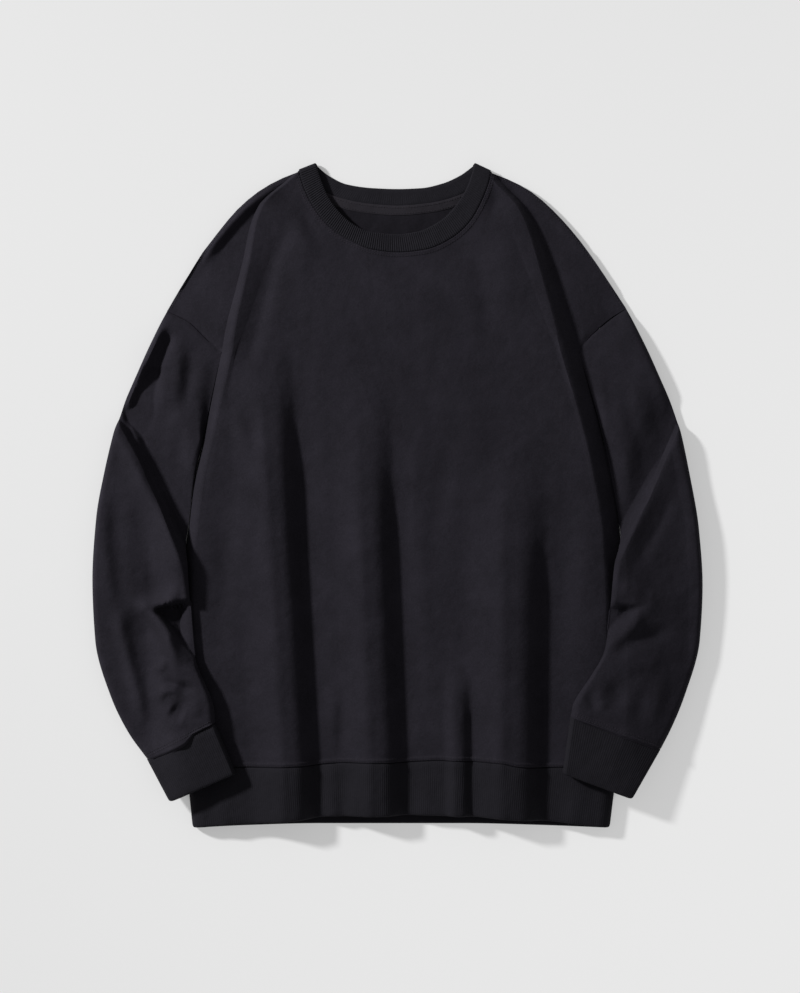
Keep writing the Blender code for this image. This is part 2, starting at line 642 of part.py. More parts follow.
def cuff_ring(side, outer, inner, rise):
    """One edge of a cuff, over the top from the outer corner and back underneath."""
    outer = np.asarray(outer, float)
    inner = np.asarray(inner, float)
    width = math.hypot(*(inner - outer))
    edge = CUFF_TURN / width
    top = edge + (1.0 - 2.0 * edge) * rib_shares(CUFF_RIB_LENGTH)
    angles = np.linspace(0.0, math.pi, 7)[1:-1]
    turn_shares = 1.0 - edge + edge * np.sin(angles)
    bottom = np.linspace(1.0 - edge, edge, CUFF_BACK_POINTS)

    def stretch(shares, lift):
        points = outer + (inner - outer) * shares[:, None]
        return np.column_stack([points, climb(side, points[:, 0], points[:, 1], 1.0) + lift])

    half = rise / 2.0
    over = stretch(top, np.full(len(top), rise))
    inner_turn = stretch(turn_shares, half + half * np.cos(angles))
    under = stretch(bottom, np.zeros(len(bottom)))
    outer_turn = stretch(1.0 - turn_shares, half - half * np.cos(angles))
    return joined_ring(over, inner_turn, under, outer_turn)


def cuff_rings(side):
    """Seam edge and free edge of a cuff."""
    last = SLEEVE_STATIONS[side][-1]
    seam_outer, seam_inner = np.array(last[0:2], float), np.array(last[2:4], float)
    free_outer, free_inner = np.array(CUFF_FREE[side], float)
    down = (free_outer + free_inner - seam_outer - seam_inner) / 2.0
    down *= CUFF_GAP / math.hypot(*down)
    seam, ribbed = cuff_ring(side, seam_outer + down, seam_inner + down, CUFF_RISE[0])
    free, ribbed = cuff_ring(side, free_outer, free_inner, CUFF_RISE[1])
    return seam, free, ribbed


# Neck tape --------------------------------------------------------------------------------
TAPE_ENDS = (0.06, 0.94)       # shares of the back neck seam between which the tape runs
TAPE_STATIONS = 20


def tape(collection):
    """The tape on the back panel, along the back neck seam."""
    shares = np.linspace(TAPE_ENDS[0], TAPE_ENDS[1], TAPE_STATIONS)
    seam = along(NECK_SEAM_BACK, shares)
    tangent = np.gradient(seam, axis=0)
    down = np.column_stack([tangent[:, 1], -tangent[:, 0]])
    down /= np.linalg.norm(down, axis=1)[:, None]
    top = SHELF + TAPE_WALL
    rows = []
    for reach in (1.0 + TAPE_WIDTH, 1.0):
        rows.append(np.column_stack([seam + down * reach, np.full(len(seam), top)]))
    cloth_wall("neck_tape", np.array(rows), False, collection, TAPE_WALL, "tape")


def build(collection):
    """Every piece of the garment."""
    cloth_wall("front", front_points(), False, collection)
    cloth_wall("back", back_points(), False, collection)
    for side in ("right", "left"):
        points = sleeve_points(side)
        cloth_wall("sleeve_" + side, points[:, ::-1] if side == "right" else points, True, collection)
    rib_band("neck_rib", *neck_rib_rings(), collection)
    rib_band("hem_rib", *hem_rib_rings(), collection)
    for side in ("right", "left"):
        rib_band("cuff_" + side, *cuff_rings(side), collection)
    tape(collection)


def centre(collection):
    """Move every piece so that the garment's box stands centred on the origin."""
    graph = bpy.context.evaluated_depsgraph_get()
    corners = []
    for obj in collection.objects:
        mesh = obj.evaluated_get(graph).to_mesh()
        points = np.empty(len(mesh.vertices) * 3)
        mesh.vertices.foreach_get("co", points)
        corners.append(points.reshape(-1, 3))
    corners = np.vstack(corners)
    low = corners.min(axis=0)
    high = corners.max(axis=0)
    for obj in collection.objects:
        obj.location = (-(low[0] + high[0]) / 2.0, -(low[1] + high[1]) / 2.0, -low[2])


def main():
    """Clear the file and model the garment in its own collection."""
    for obj in list(bpy.data.objects):
        bpy.data.objects.remove(obj, do_unlink=True)
    collection = bpy.data.collections.new("crewneck_sweatshirt")
    bpy.context.scene.collection.children.link(collection)
    build(collection)
    centre(collection)


main()
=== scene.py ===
"""Crewneck sweatshirt laid flat: its cloth, ribs, seams and studio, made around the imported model.

Lengths in the tables are millimetres in the pattern's own drawing, whose middle lies
DRAWING_SHIFT away from the frame's. Sides are the wearer's, and OUTWARD gives their signs in x.
"""

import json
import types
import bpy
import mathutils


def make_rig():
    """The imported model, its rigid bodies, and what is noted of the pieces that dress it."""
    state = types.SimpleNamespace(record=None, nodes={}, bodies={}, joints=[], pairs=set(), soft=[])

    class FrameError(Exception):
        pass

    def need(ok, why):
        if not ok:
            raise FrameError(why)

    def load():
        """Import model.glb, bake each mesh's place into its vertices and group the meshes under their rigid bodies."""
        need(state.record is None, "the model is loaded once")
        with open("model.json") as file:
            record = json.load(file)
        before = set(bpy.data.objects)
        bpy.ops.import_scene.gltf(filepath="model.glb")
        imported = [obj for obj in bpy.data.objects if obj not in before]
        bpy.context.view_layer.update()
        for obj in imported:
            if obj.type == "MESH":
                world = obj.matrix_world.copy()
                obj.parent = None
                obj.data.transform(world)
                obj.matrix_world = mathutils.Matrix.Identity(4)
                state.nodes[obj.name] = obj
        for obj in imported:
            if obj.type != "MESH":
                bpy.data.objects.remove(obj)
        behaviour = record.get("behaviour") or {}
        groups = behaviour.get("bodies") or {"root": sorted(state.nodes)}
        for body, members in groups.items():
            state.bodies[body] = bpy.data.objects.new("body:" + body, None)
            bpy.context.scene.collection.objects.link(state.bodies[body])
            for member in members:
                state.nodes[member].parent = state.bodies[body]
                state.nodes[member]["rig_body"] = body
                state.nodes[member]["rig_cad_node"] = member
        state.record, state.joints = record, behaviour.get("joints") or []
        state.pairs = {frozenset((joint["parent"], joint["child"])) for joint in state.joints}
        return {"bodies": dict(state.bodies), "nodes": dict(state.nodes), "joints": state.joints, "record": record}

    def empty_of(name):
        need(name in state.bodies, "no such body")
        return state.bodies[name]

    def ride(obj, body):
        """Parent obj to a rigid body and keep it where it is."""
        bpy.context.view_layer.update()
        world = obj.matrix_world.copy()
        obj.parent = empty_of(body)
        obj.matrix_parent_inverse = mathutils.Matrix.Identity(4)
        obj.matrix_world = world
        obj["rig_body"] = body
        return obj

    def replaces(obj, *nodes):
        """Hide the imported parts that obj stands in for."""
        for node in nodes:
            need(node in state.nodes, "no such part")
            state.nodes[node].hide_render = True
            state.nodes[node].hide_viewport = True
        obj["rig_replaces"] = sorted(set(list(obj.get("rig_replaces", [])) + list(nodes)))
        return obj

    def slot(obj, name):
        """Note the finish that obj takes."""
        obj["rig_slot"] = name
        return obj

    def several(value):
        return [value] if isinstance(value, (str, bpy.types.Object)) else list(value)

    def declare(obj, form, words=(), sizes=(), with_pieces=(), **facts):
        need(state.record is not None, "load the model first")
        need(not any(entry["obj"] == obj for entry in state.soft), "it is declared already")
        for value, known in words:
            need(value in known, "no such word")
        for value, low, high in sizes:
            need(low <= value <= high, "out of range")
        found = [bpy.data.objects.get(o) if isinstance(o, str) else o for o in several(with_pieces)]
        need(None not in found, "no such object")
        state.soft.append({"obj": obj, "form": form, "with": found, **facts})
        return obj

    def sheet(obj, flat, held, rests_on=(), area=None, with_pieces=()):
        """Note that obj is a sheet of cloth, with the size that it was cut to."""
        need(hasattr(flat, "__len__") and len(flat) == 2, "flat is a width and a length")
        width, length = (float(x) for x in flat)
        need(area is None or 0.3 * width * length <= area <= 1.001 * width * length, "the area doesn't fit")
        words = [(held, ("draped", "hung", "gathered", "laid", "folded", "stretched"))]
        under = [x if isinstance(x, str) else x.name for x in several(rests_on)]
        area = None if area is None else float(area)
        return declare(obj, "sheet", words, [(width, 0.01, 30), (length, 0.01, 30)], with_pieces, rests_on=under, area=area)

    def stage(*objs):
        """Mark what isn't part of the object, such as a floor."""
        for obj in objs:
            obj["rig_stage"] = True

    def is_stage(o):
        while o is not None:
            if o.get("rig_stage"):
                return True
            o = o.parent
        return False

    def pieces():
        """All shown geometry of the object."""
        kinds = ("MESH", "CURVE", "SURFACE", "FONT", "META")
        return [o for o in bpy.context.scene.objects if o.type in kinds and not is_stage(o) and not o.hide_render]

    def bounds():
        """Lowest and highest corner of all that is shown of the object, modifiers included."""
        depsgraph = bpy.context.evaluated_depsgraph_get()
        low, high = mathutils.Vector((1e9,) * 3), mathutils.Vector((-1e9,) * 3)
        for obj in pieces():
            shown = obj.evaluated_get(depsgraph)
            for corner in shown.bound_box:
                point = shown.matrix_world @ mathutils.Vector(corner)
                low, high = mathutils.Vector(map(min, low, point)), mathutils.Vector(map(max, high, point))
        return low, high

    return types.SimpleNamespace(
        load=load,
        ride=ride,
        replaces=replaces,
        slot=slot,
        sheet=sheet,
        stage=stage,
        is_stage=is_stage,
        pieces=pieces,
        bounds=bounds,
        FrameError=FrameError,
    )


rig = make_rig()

bl_info = {
    "name": "Flat Crewneck Sweatshirt",
    "version": (1, 0, 0),
    "blender": (4, 5, 0),
    "location": "View3D > Sidebar > Sweatshirt",
    "description": "Builds a drop-shoulder crewneck sweatshirt laid flat, with its ribs and stitching",
    "category": "Add Mesh",
}

import json
import math

import bmesh
import bpy
import numpy as np
from bpy.props import FloatProperty, FloatVectorProperty, IntProperty, PointerProperty
from mathutils import Vector
from mathutils.bvhtree import BVHTree

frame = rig.load()
CAD_BOX = [list(corner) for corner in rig.bounds()]

MM = 0.001
DRAWING_SHIFT = np.array([-0.002, -2.224, 0.0])
BODY = "root"
SIDES = ("right", "left")
OUTWARD = {"right": -1.0, "left": 1.0}
FAR = 1e9

# Walls, the gap at a seam, and the shelf of cloth on the back panel: its foot and its top.
CLOTH = 2.0
RIB_WALL = 3.0
SEAM_GAP = 0.3
SHELF = CLOTH + SEAM_GAP
LOW_TOP = SHELF + CLOTH
# How far the folded edges of the body and of the sleeves turn.
SIDE_TURN = 15.0
EDGE_TURN = 8.0
# The armhole: its foot, the notch over it, and how high its seam lifts over which run.
ARMHOLE_FOOT_Y = 62.0
NOTCH_Y = 158.0
ARMHOLE_LIFT = 3.6
ARMHOLE_RISE = 60.0
# The front's height at the neck seam, how far the back's tips are drawn in, and the angle in
# degrees from which an edge is sharp.
NECK_LEVEL = 9.5
TIP_RELIEF = 2.5
SHARP_RIM = 58.0
# The sleeve's edges turn wider by the elbow: its station, and the outer edge's share of it.
ELBOW_PLACE = 4.5
ELBOW_SPREAD = {"right": 0.2, "left": 1.0}

# The body's folded side, from the hem up to the armhole's notch: y, x right, x left.
SIDE_EDGES = (
    (-292, -231.0, 240.0),
    (-238, -235.0, 246.0),
    (-167, -235.0, 247.0),
    (-112, -234.0, 247.0),
    (-69, -233.0, 245.0),
    (-36, -229.0, 243.0),
    (19, -222.0, 234.0),
    (62, -212.5, 225.0),
    (117, -201.0, 210.0),
    (158, -192.0, 198.0),
)
# Seams and edges as points in x and y. The armholes run up to the shoulders' tips, the
# shoulders and the feet of the side folds up to the neck.
ARMHOLE = {
    "right": ((-192, 158), (-207, 172), (-220, 185), (-228, 192), (-245, 200), (-252, 203)),
    "left": ((198, 158), (208, 174), (220, 185), (235, 197), (243, 202), (250, 206)),
}
SHOULDER = {
    "right": ((-252, 203), (-235, 232), (-215, 263), (-196, 289),
              (-174, 315), (-150, 335), (-127, 348), (-112, 354)),
    "left": ((250, 206), (233, 232), (212, 263), (192, 289),
             (168, 315), (144, 335), (119, 348), (106, 353)),
}
FOLD_FOOT = {
    "right": ((-192, 158), (-187, 187), (-178, 222), (-168, 263),
              (-162, 293), (-152, 318), (-135, 335), (-120, 350)),
    "left": ((198, 158), (187, 195), (174, 233), (162, 269),
             (150, 300), (138, 320), (122, 336), (113, 349)),
}
NECK_SEAM_FRONT = ((-108, 356), (-102, 337), (-90, 314), (-74, 295), (-54, 281), (-27, 270), (0, 267),
                   (30, 270), (58, 282), (79, 301), (92, 324), (99, 342), (102, 355))
NECK_FREE_FRONT = ((-89, 363), (-84, 348), (-76, 329), (-64, 312), (-45, 296), (-27, 289), (0, 287),
                   (22, 290), (47, 302), (64, 319), (77, 341), (84, 363))
NECK_SEAM_BACK = ((-108, 356), (-97, 344), (-68, 327), (-30, 319), (0, 317),
                  (35, 320), (69, 329), (92, 344), (102, 355))
NECK_FREE_BACK = ((-89, 363), (-76, 352), (-55, 342), (-27, 338), (0, 337),
                  (26, 338), (49, 343), (69, 352), (84, 363))
HEM_SEAM = ((-231, -293), (-163, -294), (-91, -292), (-52, -289), (7, -289),
            (46, -287), (112, -289), (131, -293), (164, -295), (240, -295))
HEM_FREE_FRONT = ((-224, -361), (-163, -356), (-101, -351), (-71, -348), (14, -347),
                  (79, -348), (128, -351), (158, -353), (232, -361))
HEM_FREE_BACK = ((-224, -362), (-163, -359), (-85, -357), (72, -357), (158, -359), (232, -362))

# Drape folds: crest x at the hem and at the top, y where each starts and is full, height, and
# the run of its gentle and of its steep side.
DRAPE_FOLDS = (
    (-121, -149, 190, 10, 15.5, 84.0, 34.0),
    (-27, -44, 150, -60, 14.0, 76.0, 36.0),
    (116, 119, 70, -120, 16.0, 96.0, 46.0),
    (63, 62, -175, -245, 8.0, 26.0, 18.0),
)
FOLD_HEM_Y = -290.0
# A fold's shape: the even share of its gentle side, the power of its steep side, the lip on its
# crest as height, place and run, and the dip at its foot as place, run and depth.
GENTLE_SHARE = 0.3
FLANK_POWER = 1.9
CREST_LIP = (0.07, 4.0, 7.0)
FOLD_DIP = (1.1, 0.8, 0.2)
# The front's half widths and, as shares of them, where its crown starts and its run.
HALF_WIDTHS = (232.0, 245.0)
CROWN = (0.45, 0.5)
# Height of the front's outer face: y, along the middle, along the side crests.
BODY_LEVELS = (
    (-300, 14.0, 15.5),
    (-230, 14.5, 15.5),
    (-120, 15.0, 16.0),
    (-40, 15.0, 19.0),
    (60, 16.0, 23.0),
    (158, 16.5, 24.0),
    (230, 15.5, 22.0),
    (290, 13.0, 17.0),
    (330, 11.0, 12.0),
    (364, 10.0, 9.0),
)
# Sleeve stations: x and y of the outer and the inner edge, rise at each, share of the climb.
SLEEVE_STATIONS = {
    "right": (
        (-252.6, 202.2, -213.4, 62, 8.0, 11.0, 0.0),
        (-270, 168, -217.5, 44, 12.0, 13.0, 0.0),
        (-286, 132, -221.9, 24, 15.0, 13.0, 0.0),
        (-297, 106, -226.5, -4, 14.0, 12.5, 0.0),
        (-303, 88, -229.6, -30, 12.0, 12.5, 0.0),
        (-309, 72, -227.0, -86, 19.0, 15.5, 1.0),
        (-320, 27, -224.0, -125, 18.0, 13.0, 1.0),
        (-329, -25, -219.0, -176, 18.0, 11.0, 1.0),
        (-333, -90, -209.0, -202, 18.0, 16.0, 1.0),
        (-330, -156, -202.0, -218, 17.0, 17.0, 1.0),
        (-314, -215, -199.0, -230, 16.0, 17.5, 1.0),
        (-294, -257, -198.0, -239, 15.0, 17.5, 1.0),
        (-274, -285, -198.0, -245, 14.5, 17.5, 1.0),
    ),
    "left": (
        (250.6, 205.2, 225.9, 62, 8.0, 11.0, 0.0),
        (270, 168, 229.8, 44, 12.0, 13.0, 0.0),
        (288, 128, 234.0, 24, 15.0, 13.0, 0.0),
        (298, 104, 238.8, -4, 14.0, 12.5, 0.0),
        (304, 87, 242.9, -26, 12.0, 12.5, 0.0),
        (309, 71, 234.0, -84, 19.0, 15.5, 1.0),
        (319, 24, 231.0, -120, 18.0, 13.0, 1.0),
        (329, -36, 225.0, -165, 18.0, 13.0, 1.0),
        (333, -96, 210.0, -194, 18.0, 14.0, 1.0),
        (330, -156, 197.0, -213, 17.0, 14.0, 1.0),
        (314, -215, 190.0, -226, 16.0, 14.0, 1.0),
        (299, -251, 189.0, -232, 15.0, 14.0, 1.0),
        (287, -274, 188.0, -237, 14.0, 14.0, 1.0),
    ),
}
# Tucks: station, share across, depth, and the run along and across.
SLEEVE_TUCKS = {
    "right": ((6.6, 0.80, 7.0, 0.55, 0.30), (2.6, 0.42, 3.5, 1.2, 0.10), (9.6, 0.72, 4.0, 0.8, 0.16)),
    "left": ((6.7, 0.70, 1.5, 0.6, 0.34), (2.4, 0.45, 2.5, 1.2, 0.12), (9.4, 0.60, 3.5, 0.8, 0.16)),
}
# A forearm's climb onto the body: its height, how far out it starts and how even it is.
CLIMB_LEVEL = 17.5
CLIMB_START = {"right": 40.0, "left": 70.0}
CLIMB_EVEN = {"right": 0.0, "left": 0.7}
# The cuffs: corners of the free edge, gap at the seam and folded edge.
CUFF_FREE = {"right": ((-248, -331), (-175, -300)), "left": ((255, -328), (179, -300))}
CUFF_GAP = 0.25
CUFF_TURN = 4.5
# How the sleeve puffs over its cuff's seam: reach, lift and where across it ends.
CUFF_PUFF = {"right": (7.0, 4.0, 0.74), "left": (2.5, 1.5, 1.1)}
CUFF_PUFF_RUN = 0.8
# The swelling by the cuff's seam, and the cuff's rise at its seam and at its free edge.
CUFF_WELT = 0.9
CUFF_RISE = {"right": (16.0, 15.0), "left": (14.0, 13.0)}

# Each piece's flat cut, as far as it shows: width and length, and the area inside its outline.
CUTS = {
    "front": ((0.62, 0.70), 0.36),
    "back": ((0.62, 0.66), 0.33),
    "sleeve": ((0.28, 0.48), 0.105),
    "neck_rib": ((0.50, 0.022), 0.011),
    "neck_tape": ((0.24, 0.010), 0.002),
    "hem_rib": ((0.98, 0.066), 0.0646),
    "cuff": ((0.18, 0.064), 0.0115),
}

# Creases drawn: height (minus for a trough), half width on each side of the line, the
# share of its length over which each end fades, and the line's points.
FRONT_CREASES = (
    (7.0, 5, 6, 0.2, (-216, 252), (-206, 268), (-190, 288), (-170, 311), (-147, 330), (-122, 344)),
    (2.0, 6, 7, 0.3, (214, 254), (204, 268), (186, 290), (162, 315), (140, 331), (118, 343)),
    (-4.5, 10, 17, 0.3, (-124, 322), (-124, 291), (-138, 254), (-150, 200), (-160, 160), (-174, 120)),
    (1.6, 10, 12, 0.5, (-108, 300), (-104, 262), (-110, 225)),
    (-1.6, 8, 9, 0.5, (-104, 322), (-96, 296), (-76, 276)),
    (1.2, 7, 8, 0.5, (-112, 312), (-102, 286), (-84, 262)),
    (2.2, 18, 16, 0.5, (122, 318), (118, 255), (124, 190), (132, 130)),
    (-2.2, 9, 11, 0.5, (98, 345), (106, 322), (98, 296)),
    (-2.0, 12, 12, 0.4, (84, 280), (92, 230), (98, 160)),
    (-3.5, 13, 16, 0.45, (-194, 20), (-188, -60), (-190, -130), (-196, -190)),
    (2.0, 12, 10, 0.5, (-176, 40), (-170, -40), (-168, -110)),
    (-2.0, 9, 10, 0.5, (-172, 120), (-158, 76), (-152, 36)),
    (1.6, 8, 8, 0.5, (-182, 110), (-168, 66), (-160, 26)),
    (1.8, 14, 12, 0.5, (212, 20), (208, -60), (208, -130)),
    (-2.0, 13, 14, 0.5, (188, 60), (182, -30), (184, -120), (190, -210)),
    (1.4, 10, 10, 0.5, (24, 90), (20, 0), (26, -120), (24, -200)),
    (-1.2, 12, 12, 0.5, (44, 120), (48, 20), (44, -100)),
    (1.5, 7, 6, 0.5, (-72, -200), (-70, -240), (-72, -288)),
    (-1.8, 6, 7, 0.4, (-62, -205), (-60, -245), (-62, -290)),
    (1.4, 7, 6, 0.5, (20, -210), (22, -250), (22, -290)),
    (-1.6, 6, 8, 0.4, (98, -225), (96, -258), (98, -290)),
)
SLEEVE_CREASES = {
    "right": (
        (7.0, 5, 5, 0.15, (-254, 190), (-264, 168), (-279, 136), (-290, 110), (-298, 90)),
        (-5.5, 6, 9, 0.25, (-246, 184), (-254, 164), (-263, 138), (-270, 116)),
        (-9.0, 9, 15, 0.2, (-261, 146), (-268, 122), (-276, 98), (-284, 78), (-286, 64)),
        (3.0, 8, 9, 0.3, (-243, 176), (-238, 150), (-240, 118), (-247, 92)),
        (-2.2, 7, 8, 0.4, (-230, 168), (-227, 142), (-230, 112), (-234, 84)),
        (-1.8, 8, 9, 0.5, (-240, 100), (-236, 62), (-238, 26)),
        (1.6, 8, 9, 0.5, (-254, 84), (-250, 52), (-246, 16)),
        (2.4, 7, 10, 0.3, (-316, 10), (-319, -30), (-314, -84), (-304, -130)),
        (5.0, 8, 8, 0.2, (-306, -116), (-300, -144), (-293, -174), (-284, -208), (-272, -250)),
        (-2.2, 12, 18, 0.35, (-286, -120), (-278, -152), (-272, -186), (-262, -214)),
        (-1.4, 10, 12, 0.3, (-302, 30), (-306, -30), (-303, -90), (-288, -140), (-270, -190)),
        (-1.6, 10, 12, 0.4, (-280, 20), (-276, -30), (-270, -80)),
        (1.6, 12, 14, 0.4, (-262, -20), (-262, -60), (-258, -100)),
        (-4.2, 9, 12, 0.4, (-292, -118), (-276, -136), (-262, -160)),
        (2.4, 8, 8, 0.4, (-262, -146), (-246, -164), (-230, -186)),
        (4.0, 6, 6, 0.4, (-264, -192), (-255, -183), (-246, -178)),
        (-5.4, 6, 6, 0.35, (-254, -194), (-243, -204), (-228, -207), (-218, -200)),
        (4.5, 6, 5, 0.35, (-262, -226), (-254, -212), (-243, -208), (-230, -214)),
        (-5.2, 9, 9, 0.4, (-247, -228), (-238, -233), (-229, -236)),
        (2.4, 7, 7, 0.4, (-222, -214), (-218, -228), (-216, -240)),
    ),
    "left": (
        (1.8, 9, 9, 0.4, (262, 150), (260, 100), (268, 50)),
        (-1.8, 9, 9, 0.4, (282, 130), (280, 92), (284, 60)),
        (1.4, 10, 10, 0.5, (240, 120), (246, 70), (254, 30)),
        (-1.6, 9, 9, 0.5, (222, 150), (228, 120), (236, 84)),
        (-3.2, 8, 24, 0.35, (302, 14), (286, -24), (268, -56), (252, -84)),
        (1.6, 10, 12, 0.4, (318, 20), (322, -60), (312, -130)),
        (2.6, 10, 9, 0.4, (232, -96), (252, -102), (272, -104)),
        (3.4, 7, 8, 0.3, (222, -172), (238, -156), (254, -138), (268, -122)),
        (-3.4, 9, 9, 0.3, (226, -178), (246, -160), (272, -152), (304, -142)),
        (2.0, 12, 10, 0.4, (238, -192), (262, -182), (294, -172)),
        (-1.8, 7, 8, 0.4, (224, -206), (238, -214), (246, -228)),
        (2.0, 7, 8, 0.4, (210, -210), (220, -220), (224, -234)),
        (-2.2, 6, 6, 0.4, (202, -212), (212, -224), (214, -236)),
        (1.8, 9, 9, 0.4, (286, -190), (282, -222), (272, -250)),
        (-1.8, 9, 9, 0.4, (268, -200), (262, -228), (256, -250)),
    ),
}
# The dip along the armhole seams: as a crease's first four values.
ARMHOLE_GROOVE = (-1.3, 2.6, 2.6, 0.06)
# Where each forearm is folded back over its upper arm, from the outer side in to the body, and
# how far past that line the step down to the upper arm runs.
FOREARM_EDGE = {
    "right": ((-306, 96), (-300, 82), (-291, 76), (-281, 52), (-268, 20), (-255, -8),
              (-243, -36), (-231, -64), (-225, -88), (-219, -118)),
    "left": ((312, 88), (305, 70), (289, 34), (272, -5), (250, -41), (232, -86)),
}
FOREARM_DROP = {"right": 8.0, "left": 4.5}
# A tuck's pocket: its depth, the edge that hangs over it, the far edge, and a point inside.
POCKETS = {
    "right": (22.0, ((-270, -122), (-250, -116), (-224, -110)),
              ((-270, -120), (-252, -140), (-238, -156), (-216, -180)), (-232, -136)),
    "left": (9.0, ((272, -116), (252, -116), (228, -110)),
             ((270, -116), (252, -136), (238, -152), (218, -176)), (238, -132)),
}
# The runs of its two edges, how far what lies under it sinks, the rim round it, the rim's run
# and its distance from the body's side, and the thickness inside.
POCKET_RUNS = {"right": (6.0, 10.0), "left": (12.0, 16.0)}
POCKET_SINK = {"right": 1.0, "left": 0.5}
POCKET_RIM = {"right": 8.0, "left": 2.0}
POCKET_RIM_RUN = 9.0
POCKET_RIM_REACH = 14.0
POCKET_FLAT = 5.0
# The upper arm past that line: its lowest height, the run back up, its turn, and how far past
# the line it stays low.
UPPER_ARM_LOW = 5.6
UPPER_ARM_RUN = 34.0
UPPER_ARM_TURN = 2.6
UPPER_ARM_HOLD = {"right": 24.0, "left": 8.0}
# The forearm's puff along that line: its height and run, and the y where it ends and its fade.
FOREARM_PUFF = {"right": 9.0, "left": 0.5}
FOREARM_PUFF_RUN = 12.0
PUFF_END = -100.0
PUFF_FADE = 75.0
# The upper arm's height beside the body, and how far out that reaches.
BESIDE_LEVEL = {"right": 11.0, "left": 5.4}
BESIDE_RUN = {"right": 10.0, "left": 34.0}

# A crease's line has at least so many points, and so many for each of its own.
CREASE_LEAST = 8
CREASE_EACH = 6
# The hem seam's height in the rows' own grid, and rows added close above it.
HEM_Y = -292.0
HEM_EXTRA_ROWS = (-291.3, -283.5, 8)
# How far up the rows follow the hem seam, and the stretch of it that is sewn.
HEM_FOLLOW = 40.0
HEM_SEWN = (-226.0, 235.0, 60)
# The swelling over the hem seam: height, distance and run; and how the cloth sinks into the seam.
HEM_WELT = 1.1
HEM_WELT_AWAY = 3.0
HEM_WELT_RUN = 1.7
HEM_SINK = 0.2
HEM_SINK_RUN = 1.2
# The swelling outside the neck seam: as a crease's first four values, its distance, and how many
# of the seam's points it takes one from.
NECK_WELT = (0.9, 1.3, 1.3, 0.03)
NECK_WELT_AWAY = 2.6
NECK_WELT_EVERY = 8
# Stitches' distances from the shoulder and the armhole seams.
SHOULDER_ROW = 2.6
ARMHOLE_ROW = 1.8
# The stretches of the seams that are sewn, as shares.
NECK_SEWN = (0.012, 0.988)
SHOULDER_SEWN = (0.03, 0.96)
ARMHOLE_SEWN = (0.04, 0.96)
CUFF_SEWN = (0.03, 0.97)
# Creases fade by the shelf: from how far under its top, over which run, and the least they leave.
CALM_BELOW = 2.2
CALM_RUN = 2.0
SHELF_LEAST = 0.6
# Lengths that set how many points the front and the back have across and along, the back's step,
# and the points along one of its shoulders.
FRONT_ACROSS = 430.0
FRONT_BODY = 450.0
FRONT_YOKE = 200.0
BACK_NECK = 230.0
BACK_YOKE = 280.0
BACK_STEP = 6.0
SHOULDER_POINTS = 24
# Columns of the front's outer sections: over the shelf by the armhole and up the fold's flank.
SHELF_COLUMNS = 14
FLANK_COLUMNS = 14
# The front's folded side: its run and steepness, and the calmer shape that it has by the hem.
SIDE_RUN = {"right": 13.5, "left": 21.0}
SIDE_POWER = {"right": 2.2, "left": 1.35}
HEM_CALM_Y = -240.0
HEM_CALM_RUN = 110.0
FOOT_GAP = 0.1
LEAN_RUN = 90.0
# Below the notch the sections grow towards the shelf's, over a run and up to a share.
NOTCH_BLEND = 50.0
NOTCH_SPREAD = 0.96
NOTCH_STEP = 1.9
# The shelf's bow, the share of the yoke from which it settles on the shoulder, and the flank's.
SHELF_BOW = (12.0, 10.0)
SHOULDER_FROM = 0.8
FLANK_NARROWS = 0.6
# The share of the yoke from which the front falls to the neck seam, and over which creases end.
NECK_FROM = 0.55
NECK_HOLD = 0.12

# The sleeves: lengths that set how many points they have, those across the underside, a finer step,
# rows added at the elbow and by the cuff, and the points round a folded edge.
SLEEVE_RUN = 500.0
SLEEVE_ACROSS = 156.0
BELOW_COUNT = 16
SLEEVE_FINENESS = 0.72
ELBOW_ROWS = (4.1, 5.0, 14)
CUFF_ROWS = (0.33, 0.01, 12)
EDGE_POINTS = 7
# A point of each upper arm, and the sleeve's distances: from the armhole, point by point, from the
# body's side, the slope of the first, and from the side beside the notch, with its heights y.
UPPER_ARM = {"right": (-240.0, 60.0), "left": (250.0, 60.0)}
ARMHOLE_GAPS = (0.15, 0.5, 0.75, 0.75, 0.75, 0.6)
BESIDE_GAP = 0.1
ARMHOLE_GAP_SLOPE = 1.4
FOLD_GAP = 0.4
FOLD_GAP_YS = (140.0, 117.0, 90.0)
# How much wider the sleeve's edges turn by the elbow and over which run, how far its rows hold to
# the armhole's path and how they leave it, and the hump over the armhole seam: runs, least and end.
ELBOW_WIDER = 1.3
ELBOW_RUN = 1.5
SEAM_HOLD = 3.0
SEAM_EASE = 1.5
HUMP_RUNS = (0.4, 0.35)
HUMP_LEAST = 1.2
HUMP_END = 1.2
# Stations: where the fold starts and the low stretch beside the body ends, both over one run, and
# where the forearm's puff starts and its run.
FOLD_PLACE = 4.2
BESIDE_PLACE = 4.6
FOLD_PLACE_RUN = 0.6
PUFF_PLACE = 3.9
PUFF_PLACE_RUN = 0.5
# The puff's distance inside the forearm's edge and its run at the edge itself.
FOREARM_PUFF_AWAY = 6.0
PUFF_RIM = 4.0
# The rim's distance from a tuck, and the body's flank in one: how far out it starts, run and power.
POCKET_RIM_AWAY = 3.0
TUCK_FLANK = (3.0, 14.0, 2.2)
# How far outside the body's side a forearm's climb is complete.
CLIMB_SHORT = 2.0
# Least heights of the upper arm past the fold and of any sleeve over what it lies on.
ARM_LEAST = 2.4 * CLOTH
SLEEVE_LEAST = 2.3 * CLOTH
